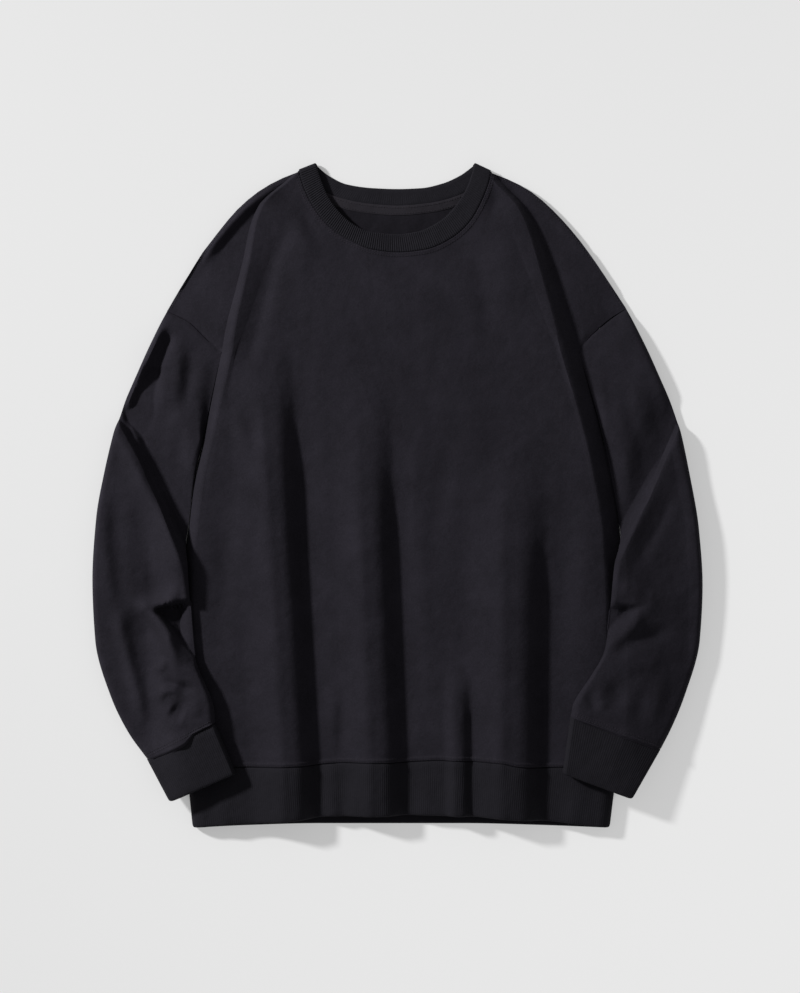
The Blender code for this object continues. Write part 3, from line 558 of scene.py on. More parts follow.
# By the cuff, in stations: the creases' end, the welt's place and run; the puff's fades across,
# its height over the cuff, and the shares of it from which and over which it covers the seam.
CREASES_END = 0.35
CUFF_WELT_PLACE = 0.13
CUFF_WELT_RUN = 0.07
CUFF_PUFF_FADES = (0.10, 0.22)
CUFF_PUFF_OVER = 0.6
CUFF_PUFF_FROM = 0.8
CUFF_PUFF_FULL = 0.2

# Rolled seam allowances: points along and round them, and their radii.
CORD_POINTS = 60
CORD_SIDES = 8
ARMHOLE_CORD = 1.1
NECK_CORD = 1.1
# The armhole's cord: its depth under the shelf's top, and its rise to the armhole's foot.
CORD_UNDER = 2.4
CORD_RISE = ARMHOLE_LIFT + 0.2
# Stitches: the share of its length that the thread shows, the step of a row's points, the two
# rows' distances from a seam, and how proud of the cloth, above and below, the thread lies.
STITCH_FILL = 0.8
ROW_STEP = 2.0
SEWN_ROWS = (1.5, 4.3)
SEWN_PROUD = 0.08
SUNK_BELOW = -0.27

# Section of a doubled rib strip: place from seam to free edge, depth under the outer face as a
# share of the wall, and how strongly the ribs show there.
RIB_SECTION = (
    [(0.0, 0.45, 0.2), (0.008, 0.15, 0.7), (0.03, 0.0, 1.0)]
    + [(share, 0.0, 1.0) for share in np.linspace(0.12, 0.90, 8)]
    + [(0.955, 0.03, 1.0), (0.985, 0.18, 1.0), (1.0, 0.5, 0.8), (0.985, 0.82, 0.5), (0.955, 1.0, 0.3)]
    + [(share, 1.0, -0.35) for share in (0.75, 0.5, 0.25)]
    + [(0.03, 1.0, -0.2), (0.008, 0.85, 0.0)]
)
# The hem's and the cuffs' ribs are pulled flatter than the neck's.
SOFT_RIB = 0.4
# The neck rib: its edges' heights, how far its tips bulge, and where they start on each curve.
NECK_RIB_SEAM = 10.8
NECK_RIB_FREE = 9.6
NECK_TIP_BULGE = (1.6, 4.2)
NECK_TIP_REACH = (0.009, 0.012)
NECK_LENGTHS = (290.0, 230.0)
TIP_POINTS = 26
# The tape: its wall, its section as reach from the seam and height, and its rows of stitches.
TAPE_WALL = 0.55
TAPE_SECTION = ((8.8, 2.6), (8.3, 2.8), (6.0, 3.1), (3.0, 3.6), (0.5, 4.0), (-1.0, 4.1), (-1.6, 3.8))
TAPE_ROWS = (-7.2, -0.9)
TAPE_REACH = (0.05, 0.95, 90)
TAPE_SEWN = (0.06, 0.94)
# The hem rib: creases of its own, where its two edges cut them, its width and its section.
HEM_CREASES = (
    (2.5, 10, 9, 0.3, (-74, -280), (-70, -330), (-72, -370)),
    (-2.5, 9, 9, 0.3, (-54, -300), (-58, -340), (-56, -370)),
    (2.0, 12, 10, 0.3, (30, -310), (28, -350), (30, -375)),
    (-2.0, 10, 12, 0.3, (88, -305), (92, -345), (90, -370)),
    (1.8, 10, 10, 0.3, (196, -310), (190, -350), (192, -375)),
    (1.8, 10, 10, 0.3, (-196, -310), (-188, -350), (-190, -375)),
)
HEM_CREASE_YS = (-296.0, -350.0)
HEM_WIDTH = 440.0
HEM_LIFT = 0.4
HEM_SETTLE = 0.96
HEM_TURN = 4.0
HEM_TURN_POINTS = (40, 12)
HEM_SIDE_GAP = 0.4
# The cuffs: their width, and the points round a folded edge.
CUFF_WIDTH = 80.0
CUFF_TURN_POINTS = 30

# Cloth noise as scale, detail and roughness: the colour's clouds and specks, and the tones' range.
CLOUDS = (30.0, 5.0, 0.62)
SPECKS = (620.0, 3.0, 0.7)
TONE_RANGE = (0.30, 0.70)
# Bumps: the grain's detail, roughness and strength; the nap's scale, these three, and depth.
GRAIN = (4.0, 0.65, 0.55)
NAP = ((95.0, 3.0, 0.5, 0.4, 0.0010), (26.0, 3.0, 0.55, 0.5, 0.0050))
# Finishes: dark and light tones where no setting holds them, sheen, grain scale and depth, mottle.
JERSEY_GRAIN = (900.0, 0.0005)
# The share by which the jersey's inner face is darkened: painted shade, for the shade that falls on it inside the
# neck.
INSIDE_SHADE_TONE = 0.62
RIB_FINISH = (0.015, 1400.0, 0.0003, 0.35)
THREAD_FINISH = ((0.017, 0.0155, 0.019), (0.031, 0.028, 0.035), 0.03, 1500.0, 0.0001)
TAPE_FINISH = ((0.0165, 0.0149, 0.0184), (0.026, 0.0236, 0.0292), 0.03, 1500.0, 0.0002, 0.3)

# The camera: what it looks at, the height of its frame, its lens and its sensor.
CAMERA_AIM = (2.7, 0.5, 12.0)
FRAME_HEIGHT = 1082.4
LENS = 85.0
SENSOR = 36.0
# The key light: its bearing, its distance in metres and its width as an angle in degrees.
KEY_AZIMUTH = math.radians(29.0)
KEY_DISTANCE = 3.0
KEY_SPREAD = 6.0
# The floor's size and its drop in metres, and the power by which the key light falls along it.
FLOOR_SIZE = 12.0
FLOOR_DROP = 0.0002
FALL_POWER = 3.0
# The paper's own tone, the tone it shows, and where the garment's shade keeps it from glowing.
PAPER = 0.53
PAPER_TONE = 0.805
SHADE_REACH = 0.03
SHADE_RANGE = (0.18, 0.42)


# ---- Curves and tables ----
def smooth(t):
    """Ease from 0 to 1 as t does."""
    t = np.clip(t, 0.0, 1.0)
    return t * t * (3.0 - 2.0 * t)


def bell(t):
    """1 at 0, falling away on both sides."""
    return np.exp(-(t**2))


def spline(knots, values, at):
    """Cubic through the values at the knots, with slopes that never overshoot."""
    knots = np.asarray(knots, float)
    values = np.asarray(values, float)
    flat = values.ndim == 1
    if flat:
        values = values[:, None]
    gaps = np.diff(knots)
    slopes = np.diff(values, axis=0) / gaps[:, None]
    tangents = np.zeros_like(values)
    same = slopes[:-1] * slopes[1:] > 0
    mean = 2.0 * slopes[:-1] * slopes[1:] / np.where(same, slopes[:-1] + slopes[1:], 1.0)
    tangents[1:-1] = np.where(same, mean, 0.0)
    tangents[0] = slopes[0]
    tangents[-1] = slopes[-1]
    at = np.clip(at, knots[0], knots[-1])
    i = np.clip(np.searchsorted(knots, at, side="right") - 1, 0, len(gaps) - 1)
    h = gaps[i][:, None]
    t = ((at - knots[i]) / gaps[i])[:, None]
    result = ((2 * t**3 - 3 * t**2 + 1) * values[i] + (t**3 - 2 * t**2 + t) * h * tangents[i]
              + (3 * t**2 - 2 * t**3) * values[i + 1] + (t**3 - t**2) * h * tangents[i + 1])
    return result[:, 0] if flat else result


def along(path, fractions):
    """Points at fractions of a path's length, on a smooth curve through its points."""
    path = np.asarray(path, float)
    steps = np.hypot(*np.diff(path[:, :2], axis=0).T)
    length = np.concatenate([[0.0], np.cumsum(steps)])
    return spline(length / length[-1], path, np.asarray(fractions, float))


def column(table, value_column, at):
    """One column of a table that is keyed by y, read at any y."""
    rows = sorted(table, key=lambda row: row[0])
    at = np.asarray(at, float)
    values = spline([row[0] for row in rows], [row[value_column] for row in rows], at.ravel())
    return values.reshape(at.shape)


def sideways(line):
    """The unit vector to the left of a line of the plan, at each of its points."""
    tangent = np.gradient(line, axis=0)
    tangent /= np.linalg.norm(tangent, axis=1)[:, None]
    return np.column_stack([-tangent[:, 1], tangent[:, 0]])


def at_height(plan, z):
    """Points of the plan, lifted to one height or to one each."""
    return np.column_stack([plan, np.broadcast_to(z, len(plan))])


def side_x(side, y):
    """Where the body's folded side lies at a height y."""
    return column(SIDE_EDGES, 1 if side == "right" else 2, y)


def inside_edge(side, x, y):
    """How far a point lies inside the body's folded side."""
    return (side_x(side, y) - x) * OUTWARD[side]


def hem_seam(x):
    """Where the hem seam lies."""
    return column(HEM_SEAM, 1, x)


def body_level(x, y):
    """Outer height of the front panel inside its side crests."""
    x = np.asarray(x, float)
    y = np.asarray(y, float)
    middle = column(BODY_LEVELS, 1, y)
    crest = column(BODY_LEVELS, 2, y)
    reach = np.abs(x) / np.where(x < 0, *HALF_WIDTHS)
    level = middle + (crest - middle) * smooth((reach - CROWN[0]) / CROWN[1])
    dip_place, dip_run, dip_depth = FOLD_DIP
    lip_height, lip_place, lip_run = CREST_LIP
    for x_hem, x_top, y_start, y_full, height, gentle, steep in DRAPE_FOLDS:
        away = x - (x_hem + (x_top - x_hem) * (y - FOLD_HEM_Y) / (y_start - FOLD_HEM_Y))
        rise = np.clip(1.0 + away / gentle, 0.0, 1.0)
        swell = GENTLE_SHARE * rise + (1.0 - GENTLE_SHARE) * smooth((rise - 0.5) / 0.5)
        flank = 1.0 - smooth(np.clip(away / steep, 0.0, 1.0) ** FLANK_POWER)
        dip = dip_depth * smooth(1.0 - np.abs(away - steep * dip_place) / (steep * dip_run))
        shape = np.where(away < 0, swell, flank) - dip + lip_height * bell((away + lip_place) / lip_run)
        level = level + height * smooth((y_start - y) / (y_start - y_full)) * shape
    return level


def nearest_on(line, x, y, toward=None):
    """Each point's distance from a line of the plan, its place along it and the side it lies on.

    The side is positive on the line's right or, if it is given, on that of the point toward.
    """
    line = np.asarray(line, float)
    nearest = np.full(x.shape, FAR)
    place = np.zeros_like(x)
    across = np.zeros_like(x)
    for i, (start, step) in enumerate(zip(line, np.diff(line, axis=0))):
        t = ((x - start[0]) * step[0] + (y - start[1]) * step[1]) / math.hypot(*step) ** 2
        t = np.clip(t, 0.0, 1.0)
        dx = x - start[0] - step[0] * t
        dy = y - start[1] - step[1] * t
        side = dx * step[1] - dy * step[0]
        if toward is not None:
            side = side * ((toward[0] - start[0]) * step[1] - (toward[1] - start[1]) * step[0])
        distance = np.hypot(dx, dy)
        closer = distance < nearest
        nearest = np.where(closer, distance, nearest)
        place = np.where(closer, (i + t) / (len(line) - 1), place)
        across = np.where(closer, side, across)
    return nearest, place, across


def distance_past(line, x, y, toward):
    """Distance in the plan from a line, counted positive on the side of the point toward."""
    nearest, _, across = nearest_on(line, x, y, toward)
    return nearest * np.sign(across)


def creases(table, x, y):
    """Height that the drawn creases add at each point."""
    total = np.zeros_like(x)
    for height, left_run, right_run, fade, *points in table:
        line = along(points, np.linspace(0.0, 1.0, max(CREASE_LEAST, CREASE_EACH * len(points))))
        nearest, place, across = nearest_on(line, x, y)
        ends = smooth(place / fade) * smooth((1.0 - place) / fade)
        total += height * ends * bell(nearest / np.where(across > 0, right_run, left_run))
    return total


# ---- Meshes ----
def linked(name, data):
    """A new object of the scene that holds data."""
    obj = bpy.data.objects.new(name, data)
    bpy.context.scene.collection.objects.link(obj)
    return obj


def mesh_object(name, points, faces, material):
    """A smooth-shaded object in the frame's metres from points in the drawing's millimetres."""
    mesh = bpy.data.meshes.new(name)
    points = np.asarray(points).reshape(-1, 3)
    mesh.from_pydata(((points + DRAWING_SHIFT) * MM).tolist(), [], faces)
    mesh.materials.append(material)
    mesh.shade_smooth()
    return linked(name, mesh)


def grid_faces(rows, count, closed_rows=False, closed_columns=False):
    """Quads of a grid of rows by count points."""
    i = np.arange(rows if closed_rows else rows - 1)[:, None]
    j = np.arange(count if closed_columns else count - 1)[None, :]
    k = (i + 1) % rows
    n = (j + 1) % count
    quads = np.stack([i * count + j, i * count + n, k * count + n, k * count + j], axis=-1)
    return quads.reshape(-1, 4).tolist()


def apply_modifiers(obj):
    """Makes obj a plain mesh with its modifiers applied."""
    graph = bpy.context.evaluated_depsgraph_get()
    old = obj.data
    mesh = bpy.data.meshes.new_from_object(obj.evaluated_get(graph))
    obj.modifiers.clear()
    obj.data = mesh
    mesh.name = obj.name
    bpy.data.meshes.remove(old)


def face_outwards(obj):
    """Turns every face of a closed mesh to the outside."""
    bm = bmesh.new()
    bm.from_mesh(obj.data)
    bmesh.ops.recalc_face_normals(bm, faces=bm.faces)
    bm.to_mesh(obj.data)
    bm.free()


def cloth_wall(name, points, closed, material, wall):
    """A cloth wall whose outer face is the given grid of points."""
    obj = mesh_object(name, points, grid_faces(*points.shape[:2], False, closed), material)
    solidify = obj.modifiers.new("wall", "SOLIDIFY")
    solidify.thickness = wall * MM
    solidify.offset = -1.0
    apply_modifiers(obj)
    obj.data.set_sharp_from_angle(angle=math.radians(SHARP_RIM))
    return obj


def lay(obj, cut, rests_on=(), sewing=()):
    """States the flat cut that a piece of cloth was made from, and the sewing on it."""
    flat, area = CUTS[cut]
    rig.sheet(obj, flat=flat, held="laid", rests_on=rests_on, area=area, with_pieces=list(sewing))


def finish_piece(obj, nodes, slot_name):
    """Rides on the body, stands for its nodes and takes its finish from a slot."""
    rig.ride(obj, BODY)
    if nodes:
        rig.replaces(obj, *nodes)
    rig.slot(obj, slot_name)
    return obj


# ---- Nodes ----
def fill(tree, made, values):
    """Sets or links a node's inputs."""
    for key, value in values.items():
        if isinstance(value, bpy.types.NodeSocket):
            tree.links.new(value, made.inputs[key])
        else:
            made.inputs[key].default_value = value


def node(tree, kind, values=None, **settings):
    """A node with its settings, and its inputs set or linked."""
    made = tree.nodes.new(kind)
    for key, value in settings.items():
        setattr(made, key, value)
    fill(tree, made, values or {})
    return made


def maths(tree, operation, *values, clamp=False):
    """The result of a maths node, from numbers and sockets."""
    made = node(tree, "ShaderNodeMath", dict(enumerate(values)), operation=operation, use_clamp=clamp)
    return made.outputs[0]


def attribute(tree, name, kind):
    """A mesh's attribute, read in a geometry nodes tree."""
    return node(tree, "GeometryNodeInputNamedAttribute", {"Name": name}, data_type=kind).outputs[0]


def new_group(name, **inputs):
    """A geometry nodes tree with a geometry and further inputs, and its input node's sockets."""
    tree = bpy.data.node_groups.new(name, "GeometryNodeTree")
    tree.interface.new_socket("Geometry", in_out="INPUT", socket_type="NodeSocketGeometry")
    for key, kind in inputs.items():
        tree.interface.new_socket(key, in_out="INPUT", socket_type="NodeSocket" + kind)
    tree.interface.new_socket("Geometry", in_out="OUTPUT", socket_type="NodeSocketGeometry")
    return tree, tree.nodes.new("NodeGroupInput").outputs


def end_group(tree, geometry, material):
    """Ends a geometry nodes tree: instances made real, with a material on them."""
    real = node(tree, "GeometryNodeRealizeInstances", {"Geometry": geometry})
    painted = node(tree, "GeometryNodeSetMaterial", {"Geometry": real.outputs[0], "Material": material})
    tree.links.new(painted.outputs[0], tree.nodes.new("NodeGroupOutput").inputs[0])
    return tree


def run_nodes(obj, build, attributes, **values):
    """Applies the geometry nodes that build makes, its inputs set by name, and drops attributes."""
    modifier = obj.modifiers.new(build.__name__, "NODES")
    modifier.node_group = bpy.data.node_groups.get(build.__name__) or build(build.__name__)
    for item in modifier.node_group.interface.items_tree:
        if item.item_type == "SOCKET" and item.in_out == "INPUT" and item.name in values:
            modifier[item.identifier] = values[item.name]
    apply_modifiers(obj)
    for name in attributes:
        layer = obj.data.attributes.get(name)
        if layer:
            obj.data.attributes.remove(layer)


# ---- Materials ----
def noise(tree, place, scale, detail, roughness):
    """The value of a noise texture."""
    made = node(tree, "ShaderNodeTexNoise",
                {"Vector": place, "Scale": scale, "Detail": detail, "Roughness": roughness})
    return made.outputs["Fac"]


def cloth_material(name, dark, light, sheen, grain_scale, grain_depth, mottle=0.45):
    """Brushed knit, made once: mottled colour, a fine grain and a soft sheen."""
    material = bpy.data.materials.get(name)
    if material:
        return material
    material = bpy.data.materials.new(name)
    material.use_nodes = True
    tree = material.node_tree
    place = node(tree, "ShaderNodeTexCoord").outputs["Object"]
    blend = maths(tree, "MULTIPLY", noise(tree, place, *CLOUDS), mottle)
    tone = maths(tree, "MULTIPLY_ADD", noise(tree, place, *SPECKS), 1.0 - mottle, blend)
    ramp = node(tree, "ShaderNodeValToRGB", {"Fac": tone})
    for stop, position, colour in zip(ramp.color_ramp.elements, TONE_RANGE, (dark, light)):
        stop.position = position
        stop.color = (*colour, 1.0)
    normal = {}
    for scale, detail, roughness, strength, depth in ((grain_scale, *GRAIN, grain_depth), *NAP):
        bump = node(tree, "ShaderNodeBump", {"Height": noise(tree, place, scale, detail, roughness),
                                             "Strength": strength, "Distance": depth, **normal})
        normal = {"Normal": bump.outputs["Normal"]}
    fill(tree, tree.nodes["Principled BSDF"],
         {"Base Color": ramp.outputs["Color"], **normal, "Roughness": 0.92, "Specular IOR Level": 0.10,
          "Sheen Weight": sheen, "Sheen Roughness": 0.45, "Sheen Tint": (0.75, 0.70, 0.85, 1.0)})
    return material


def jersey():
    """The brushed jersey."""
    cloth = bpy.context.scene.sweatshirt_cloth
    return cloth_material("brushed_jersey", cloth.dark, cloth.light, cloth.sheen, *JERSEY_GRAIN)


def jersey_reverse():
    """The jersey's inner side, darkened as painted shade for the shade that falls on it inside the neck."""
    cloth = bpy.context.scene.sweatshirt_cloth
    dark, light = ([tone * INSIDE_SHADE_TONE for tone in colour] for colour in (cloth.dark, cloth.light))
    return cloth_material("jersey_reverse", dark, light, cloth.sheen, *JERSEY_GRAIN)


def rib_knit():
    """The rib's yarn."""
    rib = bpy.context.scene.sweatshirt_rib
    return cloth_material("rib_knit", rib.dark, rib.light, *RIB_FINISH)


# ---- Settings ----
class SweatshirtCloth(bpy.types.PropertyGroup):
    """Sizes and colours of the cloth."""
    fineness: FloatProperty(name="Fineness", description="Distance between the points of the cloth",
                            default=0.003, min=0.001, unit="LENGTH")
    dark: FloatVectorProperty(name="Dark", description="Darker tone of the brushed jersey",
                              default=(0.0099, 0.0089, 0.0121), subtype="COLOR")
    light: FloatVectorProperty(name="Light", description="Lighter tone of the brushed jersey",
                               default=(0.0217, 0.0196, 0.0268), subtype="COLOR")
    sheen: FloatProperty(name="Sheen", description="Soft shine of the nap", default=0.014, min=0.0, max=1.0)


class SweatshirtRib(bpy.types.PropertyGroup):
    """Sizes and colours of the ribs."""
    pitch: FloatProperty(name="Rib pitch", description="Distance between two ribs",
                         default=0.0023, unit="LENGTH")
    rise: FloatProperty(name="Rib rise", description="Height of a rib over its groove",
                        default=0.0006, unit="LENGTH")
    points: IntProperty(name="Points", description="Points round one rib", default=6, min=4)
    dark: FloatVectorProperty(name="Dark", description="Darker tone of the rib",
                              default=(0.0093, 0.0087, 0.0111), subtype="COLOR")
    light: FloatVectorProperty(name="Light", description="Lighter tone of the rib",
                               default=(0.0152, 0.0143, 0.0186), subtype="COLOR")


class SweatshirtStitch(bpy.types.PropertyGroup):
    """Sizes of the sewing."""
    length: FloatProperty(name="Stitch length", description="From one stitch to the next",
                          default=0.0030, unit="LENGTH")
    thread: FloatProperty(name="Thread", description="Radius of the thread", default=0.00042, unit="LENGTH")


class SweatshirtStage(bpy.types.PropertyGroup):
    """The studio."""
    key: FloatProperty(name="Key light", description="Strength of the key light", default=3.75)
    fill: FloatProperty(name="Fill", description="Strength of the light all round", default=0.27)
    height: FloatProperty(name="Key height", description="Elevation of the key light",
                          default=math.radians(29.5), subtype="ANGLE")


SETTINGS = {"sweatshirt_cloth": SweatshirtCloth, "sweatshirt_rib": SweatshirtRib,
            "sweatshirt_stitch": SweatshirtStitch, "sweatshirt_stage": SweatshirtStage}


# ---- Sewing ----
def thread():
    """The sewing thread, a little lighter than the jersey."""
    return cloth_material("sewing_thread", *THREAD_FINISH)


def run_stitches(name):
    """Geometry nodes that set stitches along a line that lies on the cloth."""
    tree, given = new_group(name, Length="Float", Thread="Float", Material="Material")
    line = node(tree, "GeometryNodeMeshToCurve", {"Mesh": given["Geometry"]})
    spaced = node(tree, "GeometryNodeResampleCurve", mode="LENGTH")
    fill(tree, spaced, {"Curve": line.outputs[0], "Length": given["Length"]})
    up = attribute(tree, "cloth_up", "FLOAT_VECTOR")
    tangent = node(tree, "GeometryNodeInputTangent").outputs[0]
    turn = node(tree, "FunctionNodeAxesToRotation", {0: up, 1: tangent}, primary_axis="Z", secondary_axis="X")
    stitch = node(tree, "GeometryNodeMeshUVSphere", {"Segments": 6, "Rings": 4, "Radius": 1.0})
    half = maths(tree, "MULTIPLY", given["Length"], STITCH_FILL / 2.0)
    size = node(tree, "ShaderNodeCombineXYZ", {"X": half, "Y": given["Thread"], "Z": given["Thread"]})
    placed = node(tree, "GeometryNodeInstanceOnPoints",
                  {"Points": spaced.outputs[0], "Instance": stitch.outputs["Mesh"],
                   "Rotation": turn.outputs[0], "Scale": size.outputs[0]})
    return end_group(tree, placed.outputs[0], given["Material"])


def offset_line(path, distance, start=0.0, end=1.0):
    """Points along a path of the plan, moved to its left by a distance."""
    path = np.asarray(path, float)[:, :2]
    length = np.hypot(*np.diff(path, axis=0).T).sum()
    line = along(path, np.linspace(start, end, max(4, int(length / ROW_STEP))))
    return line + sideways(line) * distance


def hem_rows():
    """The stitches' two rows above the hem seam."""
    x = np.linspace(*HEM_SEWN)
    return [offset_line(np.column_stack([x, hem_seam(x)]), gap) for gap in SEWN_ROWS]


def sew(name, cloth, rows, below=False):
    """Stitches on the cloth, along rows of the plan, seen from above or from below."""
    tree = BVHTree.FromPolygons([tuple(v.co) for v in cloth.data.vertices],
                                [tuple(face.vertices) for face in cloth.data.polygons])
    points, edges, ups = [], [], []
    start = -1.0 if below else 1.0
    for row in rows:
        last = None
        for x, y in row:
            at = (np.array([x, y, 0.0]) + DRAWING_SHIFT) * MM
            hit, normal, _, _ = tree.ray_cast(Vector((at[0], at[1], start)), Vector((0.0, 0.0, -start)))
            if hit is None:
                last = None
                continue
            up = normal if normal.z * start > 0.0 else -normal
            points.append(tuple(hit + up * (SUNK_BELOW if below else SEWN_PROUD) * MM))
            ups.extend(up)
            if last is not None:
                edges.append((last, len(points) - 1))
            last = len(points) - 1
    mesh = bpy.data.meshes.new(name)
    mesh.from_pydata(points, edges, [])
    layer = mesh.attributes.new("cloth_up", "FLOAT_VECTOR", "POINT")
    layer.data.foreach_set("vector", np.array(ups, np.float32))
    obj = linked(name, mesh)
    stitch = bpy.context.scene.sweatshirt_stitch
    run_nodes(obj, run_stitches, ["cloth_up"], Length=stitch.length, Thread=stitch.thread, Material=thread())
    obj.data.shade_smooth()
    return finish_piece(obj, [], "jersey")


def seam_cord(name, path, levels, radius):
    """The rolled seam allowance under a seam: a thin tube along a path of the plan."""
    line = along(path, np.linspace(0.0, 1.0, CORD_POINTS))
    across = sideways(line)
    rings = [at_height(line + across * radius * math.cos(angle), levels + radius * math.sin(angle))
             for angle in np.linspace(0.0, 2.0 * math.pi, CORD_SIDES + 1)[:-1]]
    last = CORD_SIDES * (CORD_POINTS - 1)
    faces = grid_faces(CORD_POINTS, CORD_SIDES, False, True)
    faces += [list(range(CORD_SIDES)), list(range(last, last + CORD_SIDES))]
    obj = mesh_object(name, np.stack(rings, axis=1), faces, jersey())
    face_outwards(obj)
    return finish_piece(obj, [], "jersey")


# ---- Front panel ----
def body_side(side, row_y):
    """The front's outer columns below the armhole's notch: its turn down to the back panel."""
    even = np.linspace(0.0, 1.0, SHELF_COLUMNS + FLANK_COLUMNS)
    late = np.clip((even - even[SHELF_COLUMNS]) / (1.0 - even[SHELF_COLUMNS]), 0.0, 1.0)
    blend = float(smooth((row_y - NOTCH_Y + NOTCH_BLEND) / NOTCH_BLEND))
    share = even + (late - even) * min(blend, NOTCH_SPREAD)
    above_foot = row_y - ARMHOLE_FOOT_Y
    crest = column(BODY_LEVELS, 2, row_y)
    foot = SHELF + FOOT_GAP + (ARMHOLE_LIFT + NOTCH_STEP * blend) * smooth(above_foot / ARMHOLE_RISE)
    upper = float(smooth((row_y - HEM_CALM_Y) / HEM_CALM_RUN))
    lean = upper + (1.0 - upper) * smooth(above_foot / LEAN_RUN)
    run = SIDE_TURN + (SIDE_RUN[side] - SIDE_TURN) * upper
    angles = share * math.pi / 2
    inward = (1.0 - np.cos(angles)) + (share - 1.0 + np.cos(angles)) * lean
    climbed = np.sin(angles) + (1.0 - (1.0 - share) ** SIDE_POWER[side] - np.sin(angles)) * upper
    x = side_x(side, row_y) - OUTWARD[side] * run * inward
    return np.column_stack([x, np.full_like(x, row_y), foot + (crest - foot) * climbed])


def yoke_side(side, yoke):
    """The front's outer columns above the notch: the shelf by the armhole and the fold's flank."""
    outer = along(ARMHOLE[side], [yoke])[0]
    foot = along(FOLD_FOOT[side], [yoke])[0]
    share = np.linspace(0.0, 1.0, SHELF_COLUMNS + 1)
    bow = np.array([OUTWARD[side] * SHELF_BOW[0], SHELF_BOW[1]]) * yoke * np.sin(share[:-1, None] * math.pi)
    flat = outer + (foot - outer) * share[:-1, None] + bow
    if yoke > SHOULDER_FROM:
        shoulder = along(SHOULDER[side], share)
        settle = smooth((yoke - SHOULDER_FROM) / (1.0 - SHOULDER_FROM))
        flat = flat + (shoulder[:-1] - flat) * settle
        foot = foot + (shoulder[-1] - foot) * settle
    crest = column(BODY_LEVELS, 2, foot[1])
    spread = SIDE_RUN[side] * (1.0 - FLANK_NARROWS * yoke)
    low = LOW_TOP + ARMHOLE_LIFT * (1.0 - smooth(yoke))
    rise = np.linspace(0.0, 1.0, FLANK_COLUMNS)
    flank = np.column_stack([foot[0] - OUTWARD[side] * spread * rise, np.full(FLANK_COLUMNS, foot[1]),
                             low + (crest - low) * (1.0 - (1.0 - rise) ** SIDE_POWER[side])])
    return np.vstack([at_height(flat, low), flank])


def follow_hem(points):
    """Rows near the hem, bent to run along its seam."""
    x, y = points[..., 0], points[..., 1]
    bent = points.copy()
    bent[..., 1] = y + (hem_seam(x) + SEAM_GAP - HEM_Y) * (1.0 - smooth((y - HEM_Y) / HEM_FOLLOW))
    return bent


def front_points(step):
    """Every section of the front panel, from the hem seam up to the shoulders and neck."""
    share = np.linspace(0.0, 1.0, int(FRONT_ACROSS / step) + 1)
    neck = along(NECK_SEAM_FRONT, share)
    body_ys = np.linspace(HEM_Y, NOTCH_Y, int(FRONT_BODY / step) + 1)
    body_ys = np.sort(np.concatenate([body_ys, np.linspace(*HEM_EXTRA_ROWS)]))
    yokes = np.linspace(0.0, 1.0, int(FRONT_YOKE / step) + 1)[1:]
    sections, holds = [], []
    for row_y, yoke in [(y, 0.0) for y in body_ys] + [(NOTCH_Y, t) for t in yokes]:
        right, left = (yoke_side(side, yoke) if yoke else body_side(side, row_y) for side in SIDES)
        left = left[::-1]
        if yoke:
            plan = notch_row + (neck[1:-1] - notch_row) * yoke
        else:
            plan = right[-1, :2] + (left[0, :2] - right[-1, :2]) * share[1:-1, None]
            notch_row = plan
        level = body_level(*plan.T)
        level = level + (NECK_LEVEL - level) * smooth((yoke - NECK_FROM) / (1.0 - NECK_FROM))
        sections.append(np.vstack([right, at_height(plan, level), left]))
        hold = np.ones(len(sections[-1]))
        hold[len(right):-len(left)] = smooth((1.0 - yoke) / NECK_HOLD)
        holds.append(hold)
    points = np.array(sections)
    low_rows = slice(0, len(body_ys))
    points[low_rows] = follow_hem(points[low_rows])
    x, y, z = points[:, :, 0], points[:, :, 1], points[:, :, 2]
    over_seam = y - hem_seam(x)
    welt = HEM_WELT * bell((over_seam - HEM_WELT_AWAY) / HEM_WELT_RUN)
    welt = welt - HEM_SINK * np.exp(-over_seam / HEM_SINK_RUN)
    grooves = tuple((*ARMHOLE_GROOVE, *ARMHOLE[side]) for side in SIDES)
    added = (creases(FRONT_CREASES + grooves, x, y) + welt) * np.array(holds)
    added = added * smooth((z - LOW_TOP + CALM_BELOW) / CALM_RUN)
    neck_line = offset_line(NECK_SEAM_FRONT, -NECK_WELT_AWAY)[::NECK_WELT_EVERY]
    neck_welt = creases(((*NECK_WELT, *neck_line),), x, y)
    points[:, :, 2] = np.maximum(z + added, np.minimum(z, LOW_TOP + SHELF_LEAST)) + neck_welt
    return points


class SWEATSHIRT_OT_front(bpy.types.Operator):
    """Build the front panel with its drape folds"""
    bl_idname = "sweatshirt.front"
    bl_label = "Front"

    def execute(self, context):
        step = context.scene.sweatshirt_cloth.fineness / MM
        obj = cloth_wall("front_cloth", front_points(step), False, jersey(), CLOTH)
        finish_piece(obj, ["front"], "jersey")
        rows = hem_rows()
        rows += [offset_line(NECK_SEAM_FRONT, -gap, *NECK_SEWN) for gap in SEWN_ROWS]
        for side in SIDES:
            rows.append(offset_line(SHOULDER[side], OUTWARD[side] * SHOULDER_ROW, *SHOULDER_SEWN))
            rows.append(offset_line(ARMHOLE[side], -OUTWARD[side] * ARMHOLE_ROW, *ARMHOLE_SEWN))
        lay(obj, "front", ["back_cloth"], [sew("front_stitches", obj, rows)])
        return {"FINISHED"}


